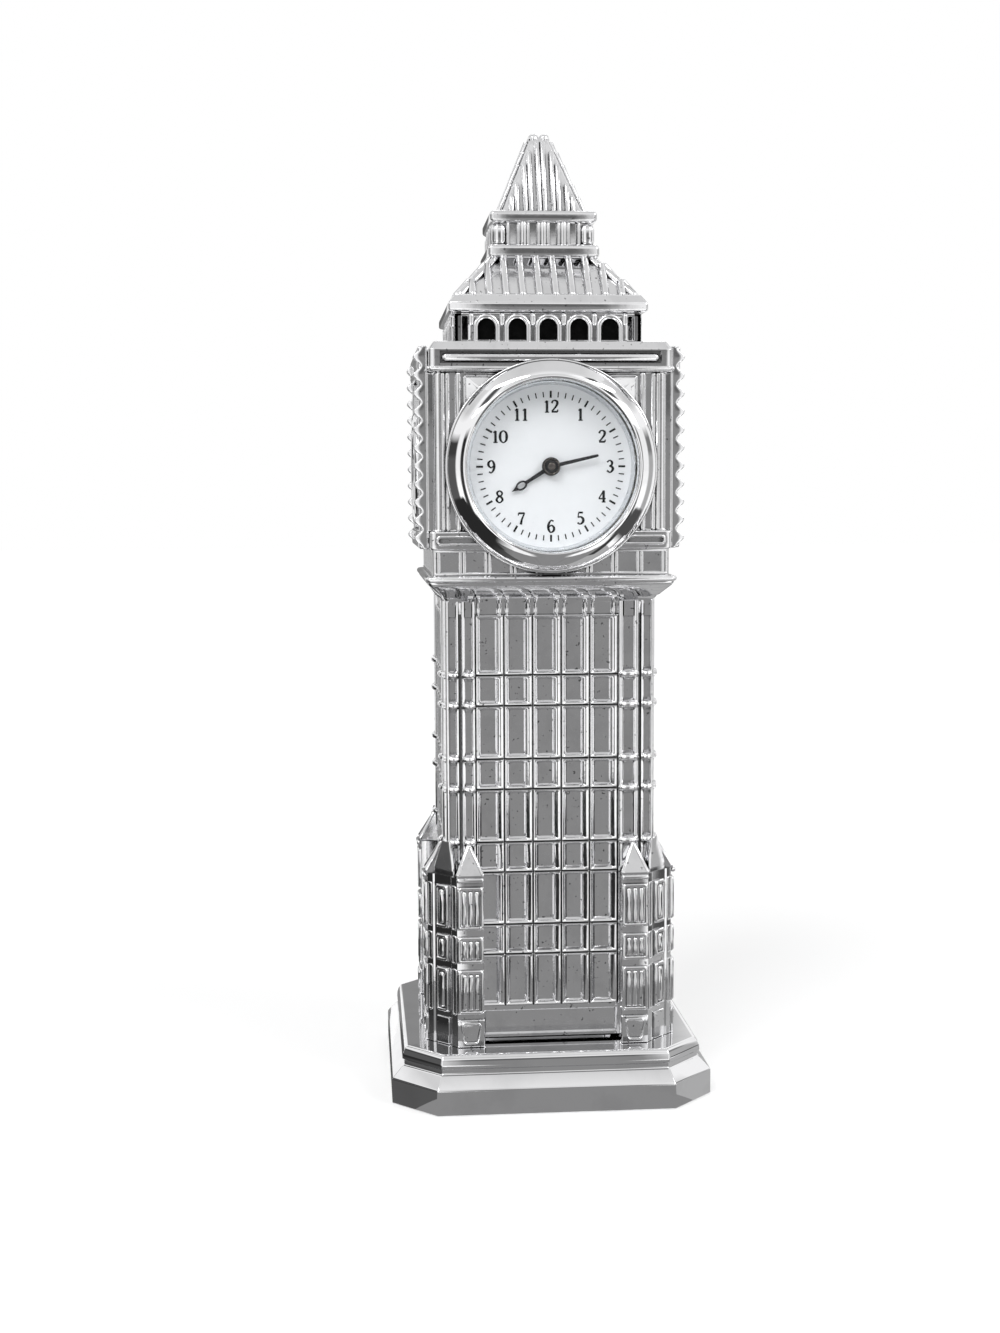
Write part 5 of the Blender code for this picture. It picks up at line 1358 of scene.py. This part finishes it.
def make_floor():
    material, nodes = new_material("pale_floor")
    shader = nodes["Principled BSDF"]
    nodes.feed(shader, {"Base Color": (*grey(0.62), 1.0), "Roughness": 0.9, "Specular IOR Level": 0.0})
    place = nodes.add("TexCoord", {}).outputs["Object"]
    distance = nodes.add("VectorMath", {0: place}, operation="LENGTH").outputs["Value"]
    spread = nodes.add("MapRange", {"Value": distance, "From Min": 0.1, "From Max": 0.9, "To Min": 0.32,
                                    "To Max": 0.68}).outputs["Result"]
    glow = nodes.add("Emission", {"Strength": nodes.combine("MULTIPLY", nodes.seen(), spread)})
    nodes.show(nodes.add("AddShader", {0: shader.outputs["BSDF"], 1: glow.outputs["Emission"]}))
    plan = rectangle(-FLOOR_HALF, FLOOR_HALF, -FLOOR_HALF, FLOOR_HALF)
    floor = stage_mesh("floor", flat(plan, 0.0), QUAD, material)


def make_world():
    world = bpy.data.worlds.new("studio")
    nodes = Nodes(world)
    strength = nodes.add("MapRange", {"Value": nodes.seen(), "To Min": 0.55, "To Max": 1.0}).outputs["Result"]
    nodes.feed(nodes["Background"], {"Color": (*grey(1.0), 1.0), "Strength": strength})
    bpy.context.scene.world = world


def area_light(name, place, size, power):
    lamp = bpy.data.lights.new(name, "AREA")
    lamp.shape = "RECTANGLE"
    lamp.size = size[0] * MM
    lamp.size_y = size[1] * MM
    lamp.energy = power
    item = bpy.data.objects.new(name, lamp)
    item.location = Vector(place) * MM
    item.rotation_euler = (Vector(LAMP_AIM) - Vector(place)).to_track_quat("-Z", "Y").to_euler()
    bpy.context.scene.collection.objects.link(item)


def heading(azimuth, reach, z):
    """A point around the tower; azimuth 0 is in front and 90 to the right."""
    turn = math.radians(azimuth)
    return (reach * math.sin(turn), -reach * math.cos(turn), z)


def faded(azimuth, half, fade, radiance):
    """One card of a ring, with its two soft edges."""
    return [(azimuth - half - fade, radiance, 0.0), (azimuth - half, radiance, 1.0),
            (azimuth + half, radiance, 1.0), (azimuth + half + fade, radiance, 0.0)]


def make_studio():
    make_floor()
    make_world()
    # Grey cards face the tower's sides and darker flags stand at the diagonals
    around = []
    even = [(0.0, 1.0, 1.0), (1.0, 1.0, 1.0)]
    near, far = 12.0, 70.0
    apron = flat([(-near, -near), (near, -near), (far, -far), (-far, -far)], 0.2)
    for name, azimuth, half, radiance in (("front", 6.0, 10.0, 0.27), ("right", 90.0, 9.0, 0.45),
                                          ("rear", 180.0, 12.0, 0.27), ("left", -92.0, 20.0, 0.1)):
        around += faded(azimuth, half, 5.0, radiance)
        side = round(azimuth / 90.0) % SIDES
        plain = [(0.0, radiance, 1.0), (1.0, radiance, 1.0)]
        card(name + "_apron", [turned_side(p, side) for p in apron], QUAD, plain, even)
    ring_card("near_floor_ring", 23.0, 60.0, 0.3, 0.31, around, even)
    for azimuth in (-47.0, 50.0, 135.0, -135.0):
        around += faded(azimuth, 4.0, 3.0, 0.04)
    ring_card("far_floor_ring", 60.0, 320.0, 0.3, 0.31, around, even)
    ring_card("wall_ring", 320.0, 320.0, 0.3, 240.0, around,
              [(0.0, 1.0, 1.0), (0.48, 1.0, 1.0), (0.56, 0.5, 1.0), (0.72, 0.5, 1.0), (0.88, 0.5, 0.0)])
    sky = []
    for quarter in range(SIDES):
        for turn, radiance in ((0.0, 0.62), (20.0, 0.7), (29.0, 1.0), (38.0, 1.0), (43.0, 0.08), (53.0, 0.08),
                               (58.0, 1.0), (72.0, 0.7)):
            sky.append((90.0 * quarter + turn, radiance, 1.0))
    over, top = 390.0, 620.0
    ring_card("sky_ring", over, over, 300.0, top, sky, [(0.0, 1.0, 0.0), (0.2, 1.0, 1.0), (1.0, 1.15, 1.0)])
    flat_card("zenith", -over, over, -over, over, top, 0.72, 0.2)
    flat_card("left_patch", -250.0, -30.0, -160.0, 50.0, 0.7, 0.025, 0.12)
    flat_card("right_patch", 80.0, 210.0, -130.0, 30.0, 0.7, 0.08, 0.15)
    area_light("key", (-260.0, -360.0, 520.0), (320.0, 320.0), 2.4)
    area_light("fill", (340.0, -260.0, 380.0), (260.0, 260.0), 1.0)
    area_light("back", (60.0, 420.0, 460.0), (320.0, 200.0), 1.0)


def make_camera():
    lens = bpy.data.cameras.new("camera")
    lens.lens = CAMERA_LENS
    lens.sensor_width = 36.0
    lens.sensor_fit = "AUTO"
    lens.clip_start = 0.01
    camera = bpy.data.objects.new("camera", lens)
    bpy.context.scene.collection.objects.link(camera)
    axes = Matrix((CAMERA_RIGHT, CAMERA_UP, tuple(-c for c in CAMERA_FORWARD))).transposed()
    camera.matrix_world = Matrix.Translation(Vector(CAMERA_PLACE) * MM) @ axes.to_4x4()
    bpy.context.scene.camera = camera


def main():
    make_camera()
    make_base()
    make_shaft()
    make_buttresses()
    make_stage()
    for name, side in (("dial_panel_right", 1), ("dial_panel_rear", 2), ("dial_panel_left", 3)):
        make_dial_panel(name, side)
    make_belfry()
    make_lower_roof()
    make_lantern()
    make_spire()
    make_bezel()
    make_crystal()
    make_dial()
    make_print()
    make_hands()
    dress_nodes()
    make_studio()
    bpy.context.scene.view_settings.view_transform = "Standard"


main()
